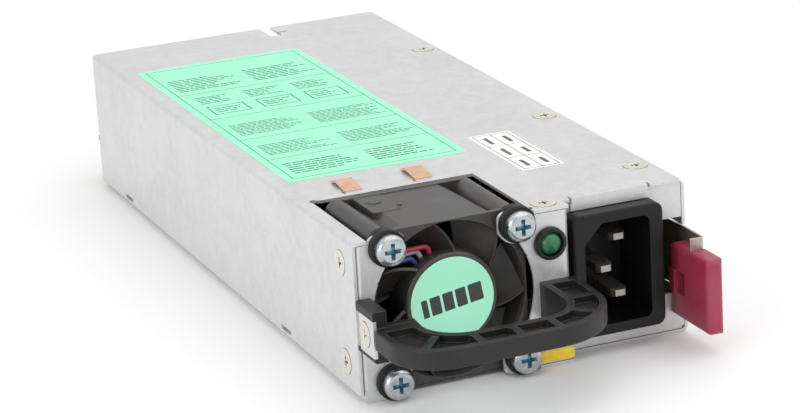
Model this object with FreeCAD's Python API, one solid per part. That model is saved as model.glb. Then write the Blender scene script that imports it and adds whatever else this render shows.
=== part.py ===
import FreeCAD, Part
import math
import os

V = FreeCAD.Vector

# Hot swap server power supply, in millimetres.
# +X is to the right seen from the fan end, +Y runs to the output end and +Z is up.
# The origin is the centre of the chassis's bottom face.

# Chassis
body_width = 86.0
body_height = 38.5
body_length = 196.0
sheet = 0.8
bend_inner = 0.8
cover_bend_inner = 0.4
bracket_bend_inner = 0.2
fold_gap = 0.15
recess = 5.0
cover_overhang = 1.0
cover_right_step = 1.6
cover_side_clear = 2.0
tray_flange_height = 9.0
top_flange_width = 11.0
panel_flange_length = 16.0
rear_flange_length = 10.0

# Fan and the cut-out that it stands in
fan_size = 38.0
fan_depth = 28.0
fan_inset = 5.3
fan_setback = 2.2
fan_lift = 1.4
fan_bore_wall = 0.7
fan_flange = 1.3
fan_lip = 0.4
fan_post_radius = 3.0
fan_barrel_front_reach = 2.6
fan_barrel_rear_reach = 1.8
fan_barrel_inset = 0.2
fan_patch_width = 6.7
fan_patch_length = 14.0
fan_patch_aside = 5.6
fan_mark_radius = 1.8
fan_mark_setback = 8.0
fan_pip_radius = 0.6
fan_hole_radius = 2.15
fan_cutout_gap = 1.6
fan_cutout_rear_gap = 4.3
fan_opening_gap = 1.0

# Fan's fixed front: the motor's base and the guide vanes that carry it
motor_base_stand = 0.8
motor_base_radius = 11.4
motor_base_thickness = 2.0
motor_skirt_wall = 0.9
motor_skirt_length = 8.9
hub_disc_radius = 10.3
hub_disc_thickness = 0.2
vane_count = 7
vane_thickness = 0.8
vane_span = 34.0
vane_sweep = 15.0
vane_turn = 18.5
vane_camber = 0.12
bearing_radius = 3.0
bearing_width = 2.5
bearing_clearance = 0.02
bearing_tube_wall = 0.9
bearing_tube_length = 19.0
driver_board_thickness = 0.8

# Fan's turning wheel, behind the vanes
wheel_gap = 0.5
wheel_rear_gap = 0.7
hub_radius = 11.4
hub_wall = 1.3
blade_count = 5
blade_thickness = 0.9
blade_span = 50.0
blade_sweep = 8.0
blade_camber = 0.13
tip_gap = 0.4
shaft_radius = 1.5
magnet_thickness = 1.1
air_gap = 0.4
pole_count = 4
stator_setback = 1.6
stator_length = 8.0
stator_hub_wall = 1.6
stator_rim = 1.2
stator_arm_width = 2.2
stator_coil_width = 4.4
stator_slot = 1.8

# Rubber mounts and screws of the fan
grommet_radius = 4.4
grommet_neck_radius = 3.3
grommet_collar = 1.8
screw_play = 0.05
fan_screw_radius = 2.05
fan_screw_head_radius = 3.65
fan_screw_head_height = 2.5
fan_screw_length = 14.0
drive_depth = 1.8
drive_width = 1.0
drive_span = 4.2

# Face beside the fan
ear_radius = 4.5
led_column_width = 8.8
led_x_in_column = 3.6
led_from_top = 8.3
led_bezel_radius = 3.9
led_hole_radius = 3.6
led_dome_radius = 2.95
led_bezel_stand = 1.4
led_dome_stand = 0.9
led_body_length = 7.0
led_lead_radius = 0.5
led_lead_spacing = 2.54
led_lead_slope = 6.0
led_lead_height = 12.0
panel_bottom_gap = 0.2
latch_gap_low = 10.2
latch_gap_high = 28.75
latch_gap_width = 8.4

# Mains inlet, with its long side upright
inlet_column_gap = 0.95
inlet_latch_room = 8.15
inlet_top_gap = 3.4
inlet_frame_height = 30.2
inlet_frame_radius = 2.2
inlet_body_inset = 1.8
inlet_body_height = 27.2
inlet_body_depth = 22.0
inlet_wall = 3.2
inlet_cavity_shift = -0.35
inlet_cavity_height = 25.0
inlet_cavity_depth = 16.5
inlet_cavity_chamfer = 4.6
inlet_cavity_corner = 1.8
inlet_chamfer_corner = 1.2
pin_width = 4.0
pin_thickness = 2.0
pin_spacing = 14.0
pin_offset = 2.0
pin_tip_depth = 4.4
pin_tip_taper = 1.2
pin_tip_width = 2.5
pin_tip_thickness = 1.5
earth_pin_lead = 1.0
pin_tail = 6.0

# Carrying handle
handle_top = 21.2
handle_thickness = 4.7
handle_reach = 30.5
handle_side_inset = 0.2
handle_inlet_gap = 0.05
handle_bar_width = 8.6
handle_left_arm_width = 10.4
handle_right_arm_width = 9.0
handle_left_radius = 12.0
handle_right_radius = 18.0
handle_inner_radius = 9.0
handle_arm_rear_gap = 7.2
handle_edge_radius = 0.5
handle_rim = 1.7
handle_pocket_depth = 1.7
handle_rib = 1.8
handle_rib_places = (0.335, 0.508, 0.68)
handle_left_rib_angle = 52.0
handle_right_rib_angle = 45.0
handle_cross_rib_setback = 13.0
handle_arm_plain = 12.4
handle_groove = 0.35
handle_block_width = 3.4
handle_block_length = 9.8
handle_block_low = 13.0
handle_block_high = 25.2
handle_foot_low = 12.2
handle_foot_thickness = 2.6
tab_low = 14.2
tab_high = 23.0
tab_screw_setback = 4.6
tab_screw_length = 3.0
foot_screw_length = 6.0
foot_screw_inset = 5.8
foot_screw_head_radius = 2.5

# Countersunk screws
flat_head_radius = 3.0
flat_head_depth = 1.5
flat_head_stand = 0.15
flat_seat_play = 0.15
flat_drive_span = 2.8
flat_drive_width = 0.6
flat_drive_depth = 1.0
flat_shank_radius = 1.45
flat_screw_length = 6.0
cover_screw_inset = 5.6
cover_screw_places = (18.9, 69.6, 148.2)
side_screw_length = 3.0
side_screw_setback = 8.0
side_screw_heights = (8.1, 32.0)
tongue_screw_setback = 4.2
tongue_screw_length = 3.5

# Release latch
leaf_thickness = 0.5
leaf_root = 30.0
leaf_low = 10.6
leaf_high = 26.2
leaf_flare_start = 17.0
leaf_flare_end = 7.0
leaf_end = 4.5
leaf_hook = 3.4
leaf_wall_gap = 0.35
leaf_foot_length = 11.0
flex_gap = 0.3
paddle_thickness = 4.3
paddle_length = 18.4
paddle_low = 5.0
paddle_high = 23.3
paddle_radius = 1.4
paddle_gap = 0.5
paddle_window_height = 5.6
paddle_window_length = 4.0
latch_notch_gap = 0.5
latch_notch_depth = 16.0
rivet_radius = 1.5

# Openings in the folded sheets
copper_width = 4.5
copper_length = 9.0
copper_rise = 0.9
copper_thickness = 0.3
copper_centres = (11.7, 29.7)
notch_width = 3.4
notch_depth = 10.0
notch_from_left = 51.5
hook_slot_length = 6.4
hook_slot_height = 1.1
hook_slot_places = (48.0, 171.3)

# Rear wall
vent_radius = 1.7
vent_pitch = 4.7
vent_rows = 4
vent_inset = 8.0
edge_board_width = 62.0
edge_board_inset = 2.2
edge_board_level = 11.2
edge_board_reach = 8.5
edge_board_inside = 26.0
edge_slot_gap = 0.6
contact_length = 6.4
contact_gap = 0.6
contact_thickness = 0.08
power_contact_width = 3.2
signal_contact_width = 1.3

# Circuit inside
board_thickness = 1.6
board_level = 5.0
board_side_gap = 4.0
board_front_gap = 42.0
board_rear_gap = 14.0
standoff_radius = 2.5
board_screw_radius = 1.4
control_board_inset = 8.0
part_gap = 0.8
fuse_radius = 2.5
fuse_lift = 3.2
fuse_setback = 7.0
fuse_header_gap = 2.26
fuse_lead_gap = 1.39
fuse_foot_inset = 1.56
fuse_foot_width = 2.0
wire_radius = 0.62
fan_wire_angles = (107.0, 118.0, 128.0)
fan_wire_spacing = 1.6
fan_wire_stagger = 0.8
fan_wire_turn_step = 1.0
fan_plug_pitch = 2.2
fan_plug_aside = 5.9
fan_plug_width = 7.2
fan_plug_depth = 4.0
fan_header_width = 8.8
fan_header_height = 4.2
mains_wire_radius = 1.1

# Planes worked out from the sizes above
left = -body_width / 2
right = body_width / 2
front = -body_length / 2
rear = body_length / 2
recess_face = front + recess
fan_x = left + fan_inset + fan_size / 2
fan_z = fan_lift + fan_size / 2
fan_front = front + fan_setback
fan_back = fan_front + fan_depth
fan_pitch = fan_size - 2 * fan_post_radius
fan_bore = fan_size - 2 * fan_bore_wall
fan_opening_radius = fan_size / 2 + fan_opening_gap
motor_base_front = fan_front - motor_base_stand
motor_base_back = motor_base_front + motor_base_thickness
motor_skirt_back = motor_base_front + motor_skirt_length
driver_board_front = motor_base_back + 0.4
driver_board_back = driver_board_front + driver_board_thickness
fan_wire_y = driver_board_back + 1.0
wheel_front = motor_skirt_back + wheel_gap
wheel_back = fan_back - wheel_rear_gap
cutout_left = fan_x - fan_size / 2 - fan_cutout_gap
cutout_right = fan_x + fan_size / 2 + fan_cutout_gap
cutout_rear = fan_back + fan_cutout_rear_gap
column_right = cutout_right + led_column_width
inner_left = left + sheet + fold_gap
panel_low = sheet + panel_bottom_gap
panel_high = body_height - sheet - fold_gap
inlet_left = column_right + inlet_column_gap
inlet_right = right - inlet_latch_room
inlet_x = (inlet_left + inlet_right) / 2
inlet_frame_width = inlet_right - inlet_left
inlet_height = body_height - inlet_top_gap - inlet_frame_height / 2
led_x = cutout_right + led_x_in_column
led_height = body_height - led_from_top
latch_opening_left = right - sheet - latch_gap_width
board_top = board_level + board_thickness
board_left = left + board_side_gap
board_right = right - board_side_gap
board_front = front + board_front_gap
board_rear = rear - board_rear_gap
board_width = board_right - board_left
board_length = board_rear - board_front
room_height = body_height - sheet - board_top
handle_bottom = handle_top - handle_thickness
handle_front = front - handle_reach
handle_left = left + handle_side_inset
handle_right = inlet_left - handle_inlet_gap
leaf_x = right - sheet - leaf_wall_gap - leaf_thickness / 2
leaf_outer_x = right - leaf_thickness / 2
leaf_front = front - leaf_end
leaf_root_y = front + leaf_root
paddle_right = right
paddle_left = paddle_right - paddle_thickness
paddle_rear = recess_face - paddle_gap
paddle_front = paddle_rear - paddle_length


# Helpers

def box(x0, x1, y0, y1, z0, z1):
    return Part.makeBox(x1 - x0, y1 - y0, z1 - z0, V(x0, y0, z0))


def rod(radius, start, end):
    start = V(*start)
    along = V(*end) - start
    return Part.makeCylinder(radius, along.Length, start, along)


def cone(radius_start, radius_end, start, end):
    start = V(*start)
    along = V(*end) - start
    return Part.makeCone(radius_start, radius_end, along.Length, start, along)


def join(shapes):
    shapes = list(shapes)
    return shapes[0].multiFuse(shapes[1:]).removeSplitter()


def cut(shape, tools):
    return shape.cut(Part.makeCompound(list(tools)))


def face_of(points):
    """A flat face through straight-sided corner points."""
    corners = [V(*p) for p in points]
    return Part.Face(Part.makePolygon(corners + corners[:1]))


def prism(points, along):
    return face_of(points).extrude(V(*along))


def soften(shape, radius, wanted):
    """Rounds the edges that the test 'wanted' picks by their middle point and direction."""
    edges = []
    for edge in shape.Edges:
        middle = edge.valueAt((edge.FirstParameter + edge.LastParameter) / 2)
        span = edge.valueAt(edge.LastParameter) - edge.valueAt(edge.FirstParameter)
        if wanted(middle, span):
            edges.append(edge)
    return shape.makeFillet(radius, edges)


def near(a, b):
    return abs(a - b) < 0.01


def runs_along(span, axis):
    return abs(span.dot(axis)) > 0.98 * span.Length > 0


def rounded_block(x0, x1, y0, y1, z0, z1, radius, axis):
    """A block whose four edges along one axis are rounded."""
    return soften(box(x0, x1, y0, y1, z0, z1), radius, lambda middle, span: runs_along(span, axis))


def bent_sheet(corners, thickness, inner_radius, plane, start, end):
    """A folded strip of even thickness: 'corners' is the mid-line in the plane 'xz' or 'xy'."""
    middle_radius = inner_radius + thickness / 2
    points = [FreeCAD.Vector(u, v, 0) for u, v in corners]
    up = V(0, 0, 1)

    def placed(p):
        return V(p.x, start, p.y) if plane == "xz" else V(p.x, p.y, start)

    def side(offset):
        """Edges of the outline on one side of the mid-line, in order."""
        ends = [points[0] + up.cross((points[1] - points[0]).normalize()) * offset]
        arcs = []
        for before, corner, after in zip(points, points[1:], points[2:]):
            d1 = (corner - before).normalize()
            d2 = (after - corner).normalize()
            turn = math.atan2(d1.cross(d2).z, d1.dot(d2))
            reach = middle_radius * math.tan(abs(turn) / 2)
            n1 = up.cross(d1)
            n2 = up.cross(d2)
            centre = corner - d1 * reach + n1 * math.copysign(middle_radius, turn)
            outward = (corner - centre).normalize()
            arc_start = corner - d1 * reach + n1 * offset
            arc_end = corner + d2 * reach + n2 * offset
            radius = (arc_start - centre).Length
            arcs.append((arc_start, centre + outward * radius, arc_end))
        last = up.cross((points[-1] - points[-2]).normalize()) * offset
        ends.append(points[-1] + last)
        return ends, arcs

    def edges(ends, arcs):
        made = []
        here = ends[0]
        for a, m, b in arcs:
            made.append(Part.LineSegment(placed(here), placed(a)).toShape())
            made.append(Part.Arc(placed(a), placed(m), placed(b)).toShape())
            here = b
        made.append(Part.LineSegment(placed(here), placed(ends[1])).toShape())
        return made

    left_ends, left_arcs = side(thickness / 2)
    right_ends, right_arcs = side(-thickness / 2)
    outline = edges(left_ends, left_arcs) + edges(right_ends, right_arcs)
    outline.append(Part.LineSegment(placed(left_ends[0]), placed(right_ends[0])).toShape())
    outline.append(Part.LineSegment(placed(left_ends[1]), placed(right_ends[1])).toShape())
    wire = Part.Wire(Part.__sortEdges__(outline))
    along = V(0, end - start, 0) if plane == "xz" else V(0, 0, end - start)
    return Part.Face(wire).extrude(along)


def tube_path(points, bend, radius):
    """A round wire through points, with an arc of the radius 'bend' at each turn."""
    path = [V(*p) for p in points]
    edges = []
    here = path[0]
    for before, corner, after in zip(path, path[1:], path[2:]):
        d1 = (corner - before).normalize()
        d2 = (after - corner).normalize()
        turn = d1.getAngle(d2)
        reach = bend * math.tan(turn / 2)
        start = corner - d1 * reach
        end = corner + d2 * reach
        inward = (d2 - d1).normalize()
        middle = corner + inward * (bend / math.cos(turn / 2) - bend)
        edges.append(Part.LineSegment(here, start).toShape())
        edges.append(Part.Arc(start, middle, end).toShape())
        here = end
    edges.append(Part.LineSegment(here, path[-1]).toShape())
    wire = Part.Wire(edges)
    section = Part.Wire(Part.makeCircle(radius, path[0], path[1] - path[0]))
    return wire.makePipeShell([section], True, False)


def cross_recess(top, inward, span, width, depth):
    """The cross for a screwdriver: two bars from the head's face that narrow inwards."""
    top = V(*top)
    inward = V(*inward)
    upright = V(1, 0, 0) if abs(inward.z) > 0.5 else V(0, 0, 1)
    level = inward.cross(upright)
    bars = []
    for along, across in ((upright, level), (level, upright)):
        wide = along * (span / 2 + 0.1)
        narrow = along * (span / 5)
        corners = [top + wide - inward * 0.3, top - wide - inward * 0.3,
                   top - narrow + inward * depth, top + narrow + inward * depth]
        bars.append(prism([tuple(c - across * (width / 2)) for c in corners], tuple(across * width)))
    return bars


def flat_screw(head, inward, length=flat_screw_length):
    """A countersunk screw: 'head' is the centre of its seat, and its rim stands a little proud."""
    place = V(*head)
    inward = V(*inward)
    top = place - inward * flat_head_stand
    rim = Part.makeCylinder(flat_head_radius, flat_head_stand, top, inward)
    sink = Part.makeCone(flat_head_radius, flat_shank_radius, flat_head_depth, place, inward)
    shank = Part.makeCylinder(flat_shank_radius, length, place, inward)
    drive = cross_recess(tuple(top), tuple(inward), flat_drive_span, flat_drive_width, flat_drive_depth)
    return cut(join([sink, rim, shank]), drive).removeSplitter()


def flat_screw_seat(head, inward):
    """The countersink and the hole that a countersunk screw seats in."""
    head = V(*head)
    inward = V(*inward)
    sink = Part.makeCone(flat_head_radius + flat_seat_play, flat_shank_radius, flat_head_depth, head, inward)
    bore = Part.makeCylinder(flat_shank_radius, flat_screw_length + 1, head - inward, inward)
    return sink.fuse(bore)


def fan_corners():
    half = fan_pitch / 2
    return [(fan_x + sx * half, fan_z + sz * half) for sz in (1, -1) for sx in (-1, 1)]


# Screw places

def top_screw_heads():
    x = right - cover_screw_inset
    return [(x, front + y, body_height) for y in cover_screw_places]


def tongue_screw_head():
    return (cutout_right + led_column_width / 2, front + tongue_screw_setback, body_height)


def side_screw_heads():
    return [(left, front + side_screw_setback, z) for z in side_screw_heights]


def tab_screw_head():
    return (handle_left, front - tab_screw_setback, (tab_low + tab_high) / 2)


# Folded steel

def base_tray():
    wall_x = right - sheet / 2
    flange_x = inner_left + sheet / 2
    top_z = body_height - sheet - fold_gap - sheet / 2
    path = [(flange_x, tray_flange_height), (flange_x, sheet / 2), (wall_x, sheet / 2)]
    path += [(wall_x, top_z), (wall_x - top_flange_width, top_z)]
    tray = bent_sheet(path, sheet, bend_inner, "xz", front, rear)
    fan_gap = box(cutout_left, cutout_right, front - 1, cutout_rear, -1, sheet + 1)
    behind_panel = box(left - 1, cutout_left, front - 1, front + sheet, -1, body_height)
    flange_relief = box(left - 1, inner_left + 2 * sheet, front - 1, front + panel_flange_length + 1,
                        sheet, body_height)
    right_step = box(column_right, right + 1, front - 1, recess_face, -1, body_height + 1)
    flange_step = box(right - top_flange_width - 2 * sheet, right - sheet, recess_face - 1,
                      recess_face + sheet + fold_gap, body_height / 2, body_height)
    notch = box(right - 2 * sheet, right + 1, front, recess_face + latch_notch_depth,
                leaf_low - latch_notch_gap, leaf_high + latch_notch_gap)
    notch = soften(notch, 1.5, lambda m, s: runs_along(s, V(1, 0, 0)) and m.y > recess_face)
    tray = cut(tray, [fan_gap, behind_panel, flange_relief, right_step, flange_step, notch])
    holes = [flat_screw_seat(head, (0, 0, -1)) for head in top_screw_heads()]
    holes += [rod(rivet_radius, (right - 3, y, z), (right + 1, y, z)) for y, z in rivet_places()]
    return cut(tray, holes)


def cover_flap():
    """The lip that the cover folds down over the mains inlet."""
    half = inlet_frame_width / 2 - 1.5
    y = recess_face - cover_overhang
    low = inlet_height + inlet_frame_height / 2 + fold_gap
    flap = box(inlet_x - half, inlet_x + half, y, y + sheet, low, body_height)
    return soften(flap, sheet * 0.8, lambda m, s: near(m.y, y) and near(m.z, body_height))


def top_cover():
    side_x = left + sheet / 2
    top_z = body_height - sheet / 2
    path = [(side_x, cover_side_clear), (side_x, top_z), (right - cover_right_step, top_z)]
    cover = bent_sheet(path, sheet, cover_bend_inner, "xz", front, rear)
    over = body_height + 1
    under = body_height - 2 * sheet
    fan_gap = box(cutout_left, cutout_right, front - 1, cutout_rear, under, over)
    corner_relief = rod(1.1, (cutout_left + 0.6, cutout_rear, under), (cutout_left + 0.6, cutout_rear, over))
    right_step = box(column_right, right + 1, front - 1, recess_face - cover_overhang, under, over)
    tongue_relief = rod(0.8, (cutout_right, front + 2.4, under), (cutout_right, front + 2.4, over))
    notch_x = left + notch_from_left
    notch = box(notch_x - notch_width / 2, notch_x + notch_width / 2, rear - notch_depth, rear + 1, under, over)
    slit_x = notch_x + notch_width / 2
    slit = box(slit_x, slit_x + 2.6, rear - 7.2, rear - 6.2, under, over)
    flap_half = inlet_frame_width / 2 - 1.5
    slits = [box(inlet_x + sx * flap_half - 0.3, inlet_x + sx * flap_half + 0.3, front, recess_face + 0.8,
                 under, over) for sx in (-1, 1)]
    hooks = []
    for place in hook_slot_places:
        y = front + place
        hooks.append(box(left - 1, left + 2 * sheet, y - hook_slot_length / 2, y + hook_slot_length / 2,
                         2.6, 2.6 + hook_slot_height))
    seats = [flat_screw_seat(head, (0, 0, -1)) for head in top_screw_heads() + [tongue_screw_head()]]
    seats += [flat_screw_seat(head, (1, 0, 0)) for head in side_screw_heads()]
    fingers = []
    for x, y in copper_places():
        fingers.append(box(x - copper_width / 2 - 0.6, x - copper_width / 2, y - 1.2, y + 1.2, under, over))
    cuts = [fan_gap, corner_relief, right_step, tongue_relief, notch, slit]
    cover = cut(cover, cuts + hooks + seats + fingers)
    return cut(cover.fuse(cover_flap()), slits).removeSplitter()


def panel_ears():
    """Tongues at the fan's corners that carry its rubber mounts and reach past the cover."""
    ears = []
    for x, z in fan_corners():
        low, high = (fan_z + 8, fan_z + fan_size / 2) if z > fan_z else (0.05, fan_z - 8)
        ears.append(rounded_block(x - ear_radius, x + ear_radius, front, front + sheet,
                                  low, high, 1.9, V(0, 1, 0)))
    return ears


def fan_face_opening():
    """Cuts the fan's side of the panel back to its corner ears."""
    disc = rod(fan_opening_radius, (fan_x, front - 1, fan_z), (fan_x, front + 2, fan_z))
    rings = [rod(ear_radius + 0.3, (x, front - 1, z), (x, front + 2, z)) for x, z in fan_corners()]
    necks = [rod(grommet_neck_radius, (x, front - 1, z), (x, front + 2, z)) for x, z in fan_corners()]
    return [disc.cut(Part.makeCompound(rings))] + necks


def left_bracket():
    """The bracket inside the cover's left side: two fan ears, a foot and the handle's tab."""
    flange_x = inner_left + sheet / 2
    face_y = front + sheet / 2
    path = [(flange_x, front + panel_flange_length), (flange_x, face_y), (cutout_left + 2.0, face_y)]
    bracket = bent_sheet(path, sheet, bracket_bend_inner, "xy", panel_low, panel_high)
    foot = rounded_block(inner_left + 0.2, cutout_left + 4.0, front, front + sheet, 0.05, panel_low + 3,
                         1.4, V(0, 1, 0))
    ears = panel_ears()
    bracket = bracket.fuse([foot, ears[0], ears[2]])
    tab_gap = box(inner_left - 0.1, inner_left + sheet + 0.4, front - 1, front + 2.6,
                  tab_low - 0.5, tab_high + 0.5)
    tab_x = handle_left + sheet / 2
    jog = [(tab_x, front - handle_block_length), (tab_x, front - 1.5),
           (flange_x, front - 0.1), (flange_x, front + 4)]
    bracket = bracket.cut(tab_gap).fuse(bent_sheet(jog, sheet, 0.1, "xy", tab_low, tab_high))
    seats = [flat_screw_seat(head, (1, 0, 0)) for head in side_screw_heads() + [tab_screw_head()]]
    return cut(bracket, fan_face_opening() + seats).removeSplitter()


def front_panel():
    """The panel right of the fan: its light's column, then a step back to the inlet and latch."""
    face_y = front + sheet / 2
    back_y = recess_face + sheet / 2
    step_x = column_right - sheet / 2
    path = [(cutout_right - 2.0, face_y), (step_x, face_y), (step_x, back_y),
            (right - sheet - fold_gap, back_y)]
    panel = bent_sheet(path, sheet, bend_inner, "xy", panel_low, panel_high)
    ears = panel_ears()
    lip_x, lip_y = tongue_screw_head()[:2]
    lip = box(lip_x - 3.6, lip_x + 3.6, front, lip_y + 4.0, panel_high - sheet, panel_high)
    panel = panel.fuse([ears[1], ears[3], lip])
    led_hole = rod(led_hole_radius, (led_x, front - 1, led_height), (led_x, front + 2, led_height))
    foot_hole = rod(flat_shank_radius + 0.1, (foot_screw_place()[0], front - 1, foot_screw_place()[2]),
                    (foot_screw_place()[0], front + 2, foot_screw_place()[2]))
    half_width = inlet_frame_width / 2 - inlet_body_inset
    half_height = inlet_body_height / 2
    inlet_gap = rounded_block(inlet_x - half_width, inlet_x + half_width, recess_face - 1, recess_face + 2 * sheet,
                              inlet_height - half_height, inlet_height + half_height, 1.5, V(0, 1, 0))
    latch_gap = rounded_block(latch_opening_left, right + 4, recess_face - 1, recess_face + 2 * sheet,
                              latch_gap_low, latch_gap_high, 1.5, V(0, 1, 0))
    seat = flat_screw_seat(tongue_screw_head(), (0, 0, -1))
    bend_corner = box(right - sheet - bend_inner, right, recess_face - 1, recess_face + 2 * sheet,
                      0, sheet + bend_inner)
    tools = fan_face_opening() + [led_hole, foot_hole, inlet_gap, latch_gap, seat, bend_corner]
    return cut(panel, tools).removeSplitter()


def vent_places():
    rows = []
    columns = int((body_width - 2 * vent_inset) / vent_pitch) + 1
    for row in range(vent_rows):
        shift = vent_pitch / 2 if row % 2 else 0
        z = body_height - 6.0 - row * vent_pitch * 0.87
        for column in range(columns):
            rows.append((left + vent_inset + shift + column * vent_pitch, z))
    return rows


def rear_panel():
    wall = rear - sheet / 2
    flange_x = inner_left + sheet / 2
    far_x = right - sheet - fold_gap - sheet / 2
    path = [(flange_x, rear - rear_flange_length), (flange_x, wall),
            (far_x, wall), (far_x, rear - rear_flange_length)]
    low = tray_flange_height + fold_gap
    wall_low = bent_sheet(path, sheet, bend_inner, "xy", low, panel_high - sheet - fold_gap - bend_inner)
    skirt = box(inner_left + 2 * sheet + bend_inner, far_x - bend_inner - sheet, rear - sheet, rear,
                sheet + fold_gap, low + 1)
    panel = wall_low.fuse(skirt)
    vents = [rod(vent_radius, (x, rear - 3, z), (x, rear + 1, z)) for x, z in vent_places()]
    x0 = left + edge_board_inset - edge_slot_gap
    slot = box(x0 - 2, left + edge_board_inset + edge_board_width + edge_slot_gap, rear - 12, rear + 1,
               edge_board_level - edge_slot_gap, edge_board_level + board_thickness + edge_slot_gap)
    low_vents = []
    for column in range(6):
        x = right - 9.0 - column * vent_pitch
        low_vents.append(rod(vent_radius, (x - 2.0, rear - 3, 5.2), (x - 2.0, rear + 1, 5.2)))
    return cut(panel, vents + low_vents + [slot]).removeSplitter()


def cover_screws():
    screws = [flat_screw(head, (0, 0, -1)) for head in top_screw_heads()]
    screws.append(flat_screw(tongue_screw_head(), (0, 0, -1), tongue_screw_length))
    return Part.makeCompound(screws)


def side_screws():
    return Part.makeCompound([flat_screw(head, (1, 0, 0), side_screw_length) for head in side_screw_heads()])


def copper_places():
    return [(cutout_left + x, cutout_rear + 2.6) for x in copper_centres]


def copper_fingers():
    """Two earthing springs clipped over the cut-out's rear edge, rising to the back."""
    fingers = []
    for x, y in copper_places():
        z = body_height + 0.02
        back = y + copper_length
        top = [(x - copper_width / 2, y, z), (x - copper_width / 2, back - 2.2, z + copper_rise)]
        top += [(x - copper_width / 2, back, z + 0.1), (x - copper_width / 2, back, z + 0.1 + copper_thickness)]
        top += [(x - copper_width / 2, back - 2.2, z + copper_rise + copper_thickness)]
        top += [(x - copper_width / 2, y, z + copper_thickness)]
        fingers.append(prism(top, (copper_width, 0, 0)))
    return Part.makeCompound(fingers)


# Fan

def fan_square(y0, y1):
    half = fan_size / 2
    return rounded_block(fan_x - half, fan_x + half, y0, y1, fan_z - half, fan_z + half,
                         fan_post_radius, V(0, 1, 0))


def around_fan(shapes):
    """Moves shapes drawn about the Y axis to the fan's own axis."""
    for shape in shapes:
        shape.translate(V(fan_x, 0, fan_z))
    return shapes


def swept_wing(first, last, radii, span, sweep, camber, thickness):
    """A curved blade drawn upright: its edges 'first' and 'last' are planes along Y.

    'span' is the angle between the two edges, and 'sweep' is how far the tip trails the root."""
    sections = []
    for radius in radii:
        share = (radius - hub_radius) / (fan_bore / 2 - hub_radius) - 0.5
        lead = math.radians(span / 2 - sweep * share)
        trail = math.radians(-span / 2 - sweep * share)
        start = V(radius * math.tan(lead), first, 0)
        end = V(radius * math.tan(trail), last, 0)
        chord = end - start
        normal = V(-chord.y, chord.x, 0).normalize()
        belly = (start + end) * 0.5 + normal * (camber * chord.Length)
        shift = normal * (thickness / 2)
        upper = [p + shift for p in (start, belly, end)]
        lower = [p - shift for p in (start, belly, end)]
        edges = [Part.Arc(*upper).toShape(), Part.LineSegment(upper[2], lower[2]).toShape(),
                 Part.Arc(*lower).toShape(), Part.LineSegment(lower[0], upper[0]).toShape()]
        wire = Part.Wire(Part.__sortEdges__(edges))
        wire.translate(V(0, 0, radius))
        sections.append(wire)
    return Part.makeLoft(sections, True, False)


def guide_vanes():
    """Fixed vanes between the motor's skirt and the bore, their front edges at the clockwise end."""
    vanes = []
    ring = rod(fan_bore / 2 + 0.2, (0, fan_front, 0), (0, fan_back, 0))
    ring = ring.cut(rod(motor_base_radius - 0.3, (0, fan_front - 1, 0), (0, fan_back + 1, 0)))
    radii = (motor_base_radius * 0.8, (motor_base_radius + fan_bore / 2) / 2, fan_bore / 2 + 0.6)
    for index in range(vane_count):
        vane = swept_wing(fan_front + 0.2, motor_skirt_back - 0.2, radii, vane_span, vane_sweep,
                          -vane_camber, vane_thickness)
        vane.rotate(V(0, 0, 0), V(0, 1, 0), index * 360.0 / vane_count - vane_turn)
        vanes.append(vane.common(ring))
    return around_fan(vanes)


def fan_wire_notches():
    """The slot that lets the wires out of the bore and the channel that takes them to the rear."""
    room = wire_radius + 0.25
    outside = fan_x - fan_size / 2 - 1
    low, high = fan_wire_height(2) - room, fan_wire_height(0) + room
    slot = box(outside, fan_x - fan_bore / 4, fan_front + fan_flange, fan_wire_y + fan_wire_stagger + room,
               low, high)
    channel = box(outside, fan_wire_x() + room, fan_wire_y, fan_back + 1, low, high)
    return [slot, channel]


def skirt_windows():
    """Holes in the motor's skirt for the three wires."""
    windows = []
    for index, degrees in enumerate(fan_wire_angles):
        angle = math.radians(degrees)
        across = V(math.cos(angle), 0, math.sin(angle))
        centre = V(fan_x, fan_wire_y + index % 2 * fan_wire_stagger, fan_z)
        windows.append(rod(wire_radius + 0.3, tuple(centre + across * (motor_base_radius - 2.5)),
                           tuple(centre + across * (motor_base_radius + 0.2))))
    return windows


def fan_shoulder():
    """The flat patch on the barrel's upper left, with its round mark and a small pip beside it."""
    top = fan_z + fan_size / 2
    x1 = fan_x - fan_patch_aside
    x0 = x1 - fan_patch_width
    y0 = fan_back - fan_patch_length
    patch = box(x0, x1, y0, fan_back, fan_z + fan_size / 4, top - fan_barrel_inset / 2)
    middle = (x0 + x1) / 2
    mark_y = y0 + fan_mark_setback
    mark = rod(fan_mark_radius, (middle, mark_y, top - 1), (middle, mark_y, top + 0.1))
    pip = rod(fan_pip_radius, (x1 + 1.0, y0 + 3.0, top - 1), (x1 + 1.0, y0 + 3.0, top + 0.1))
    return [patch, mark, pip]


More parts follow.
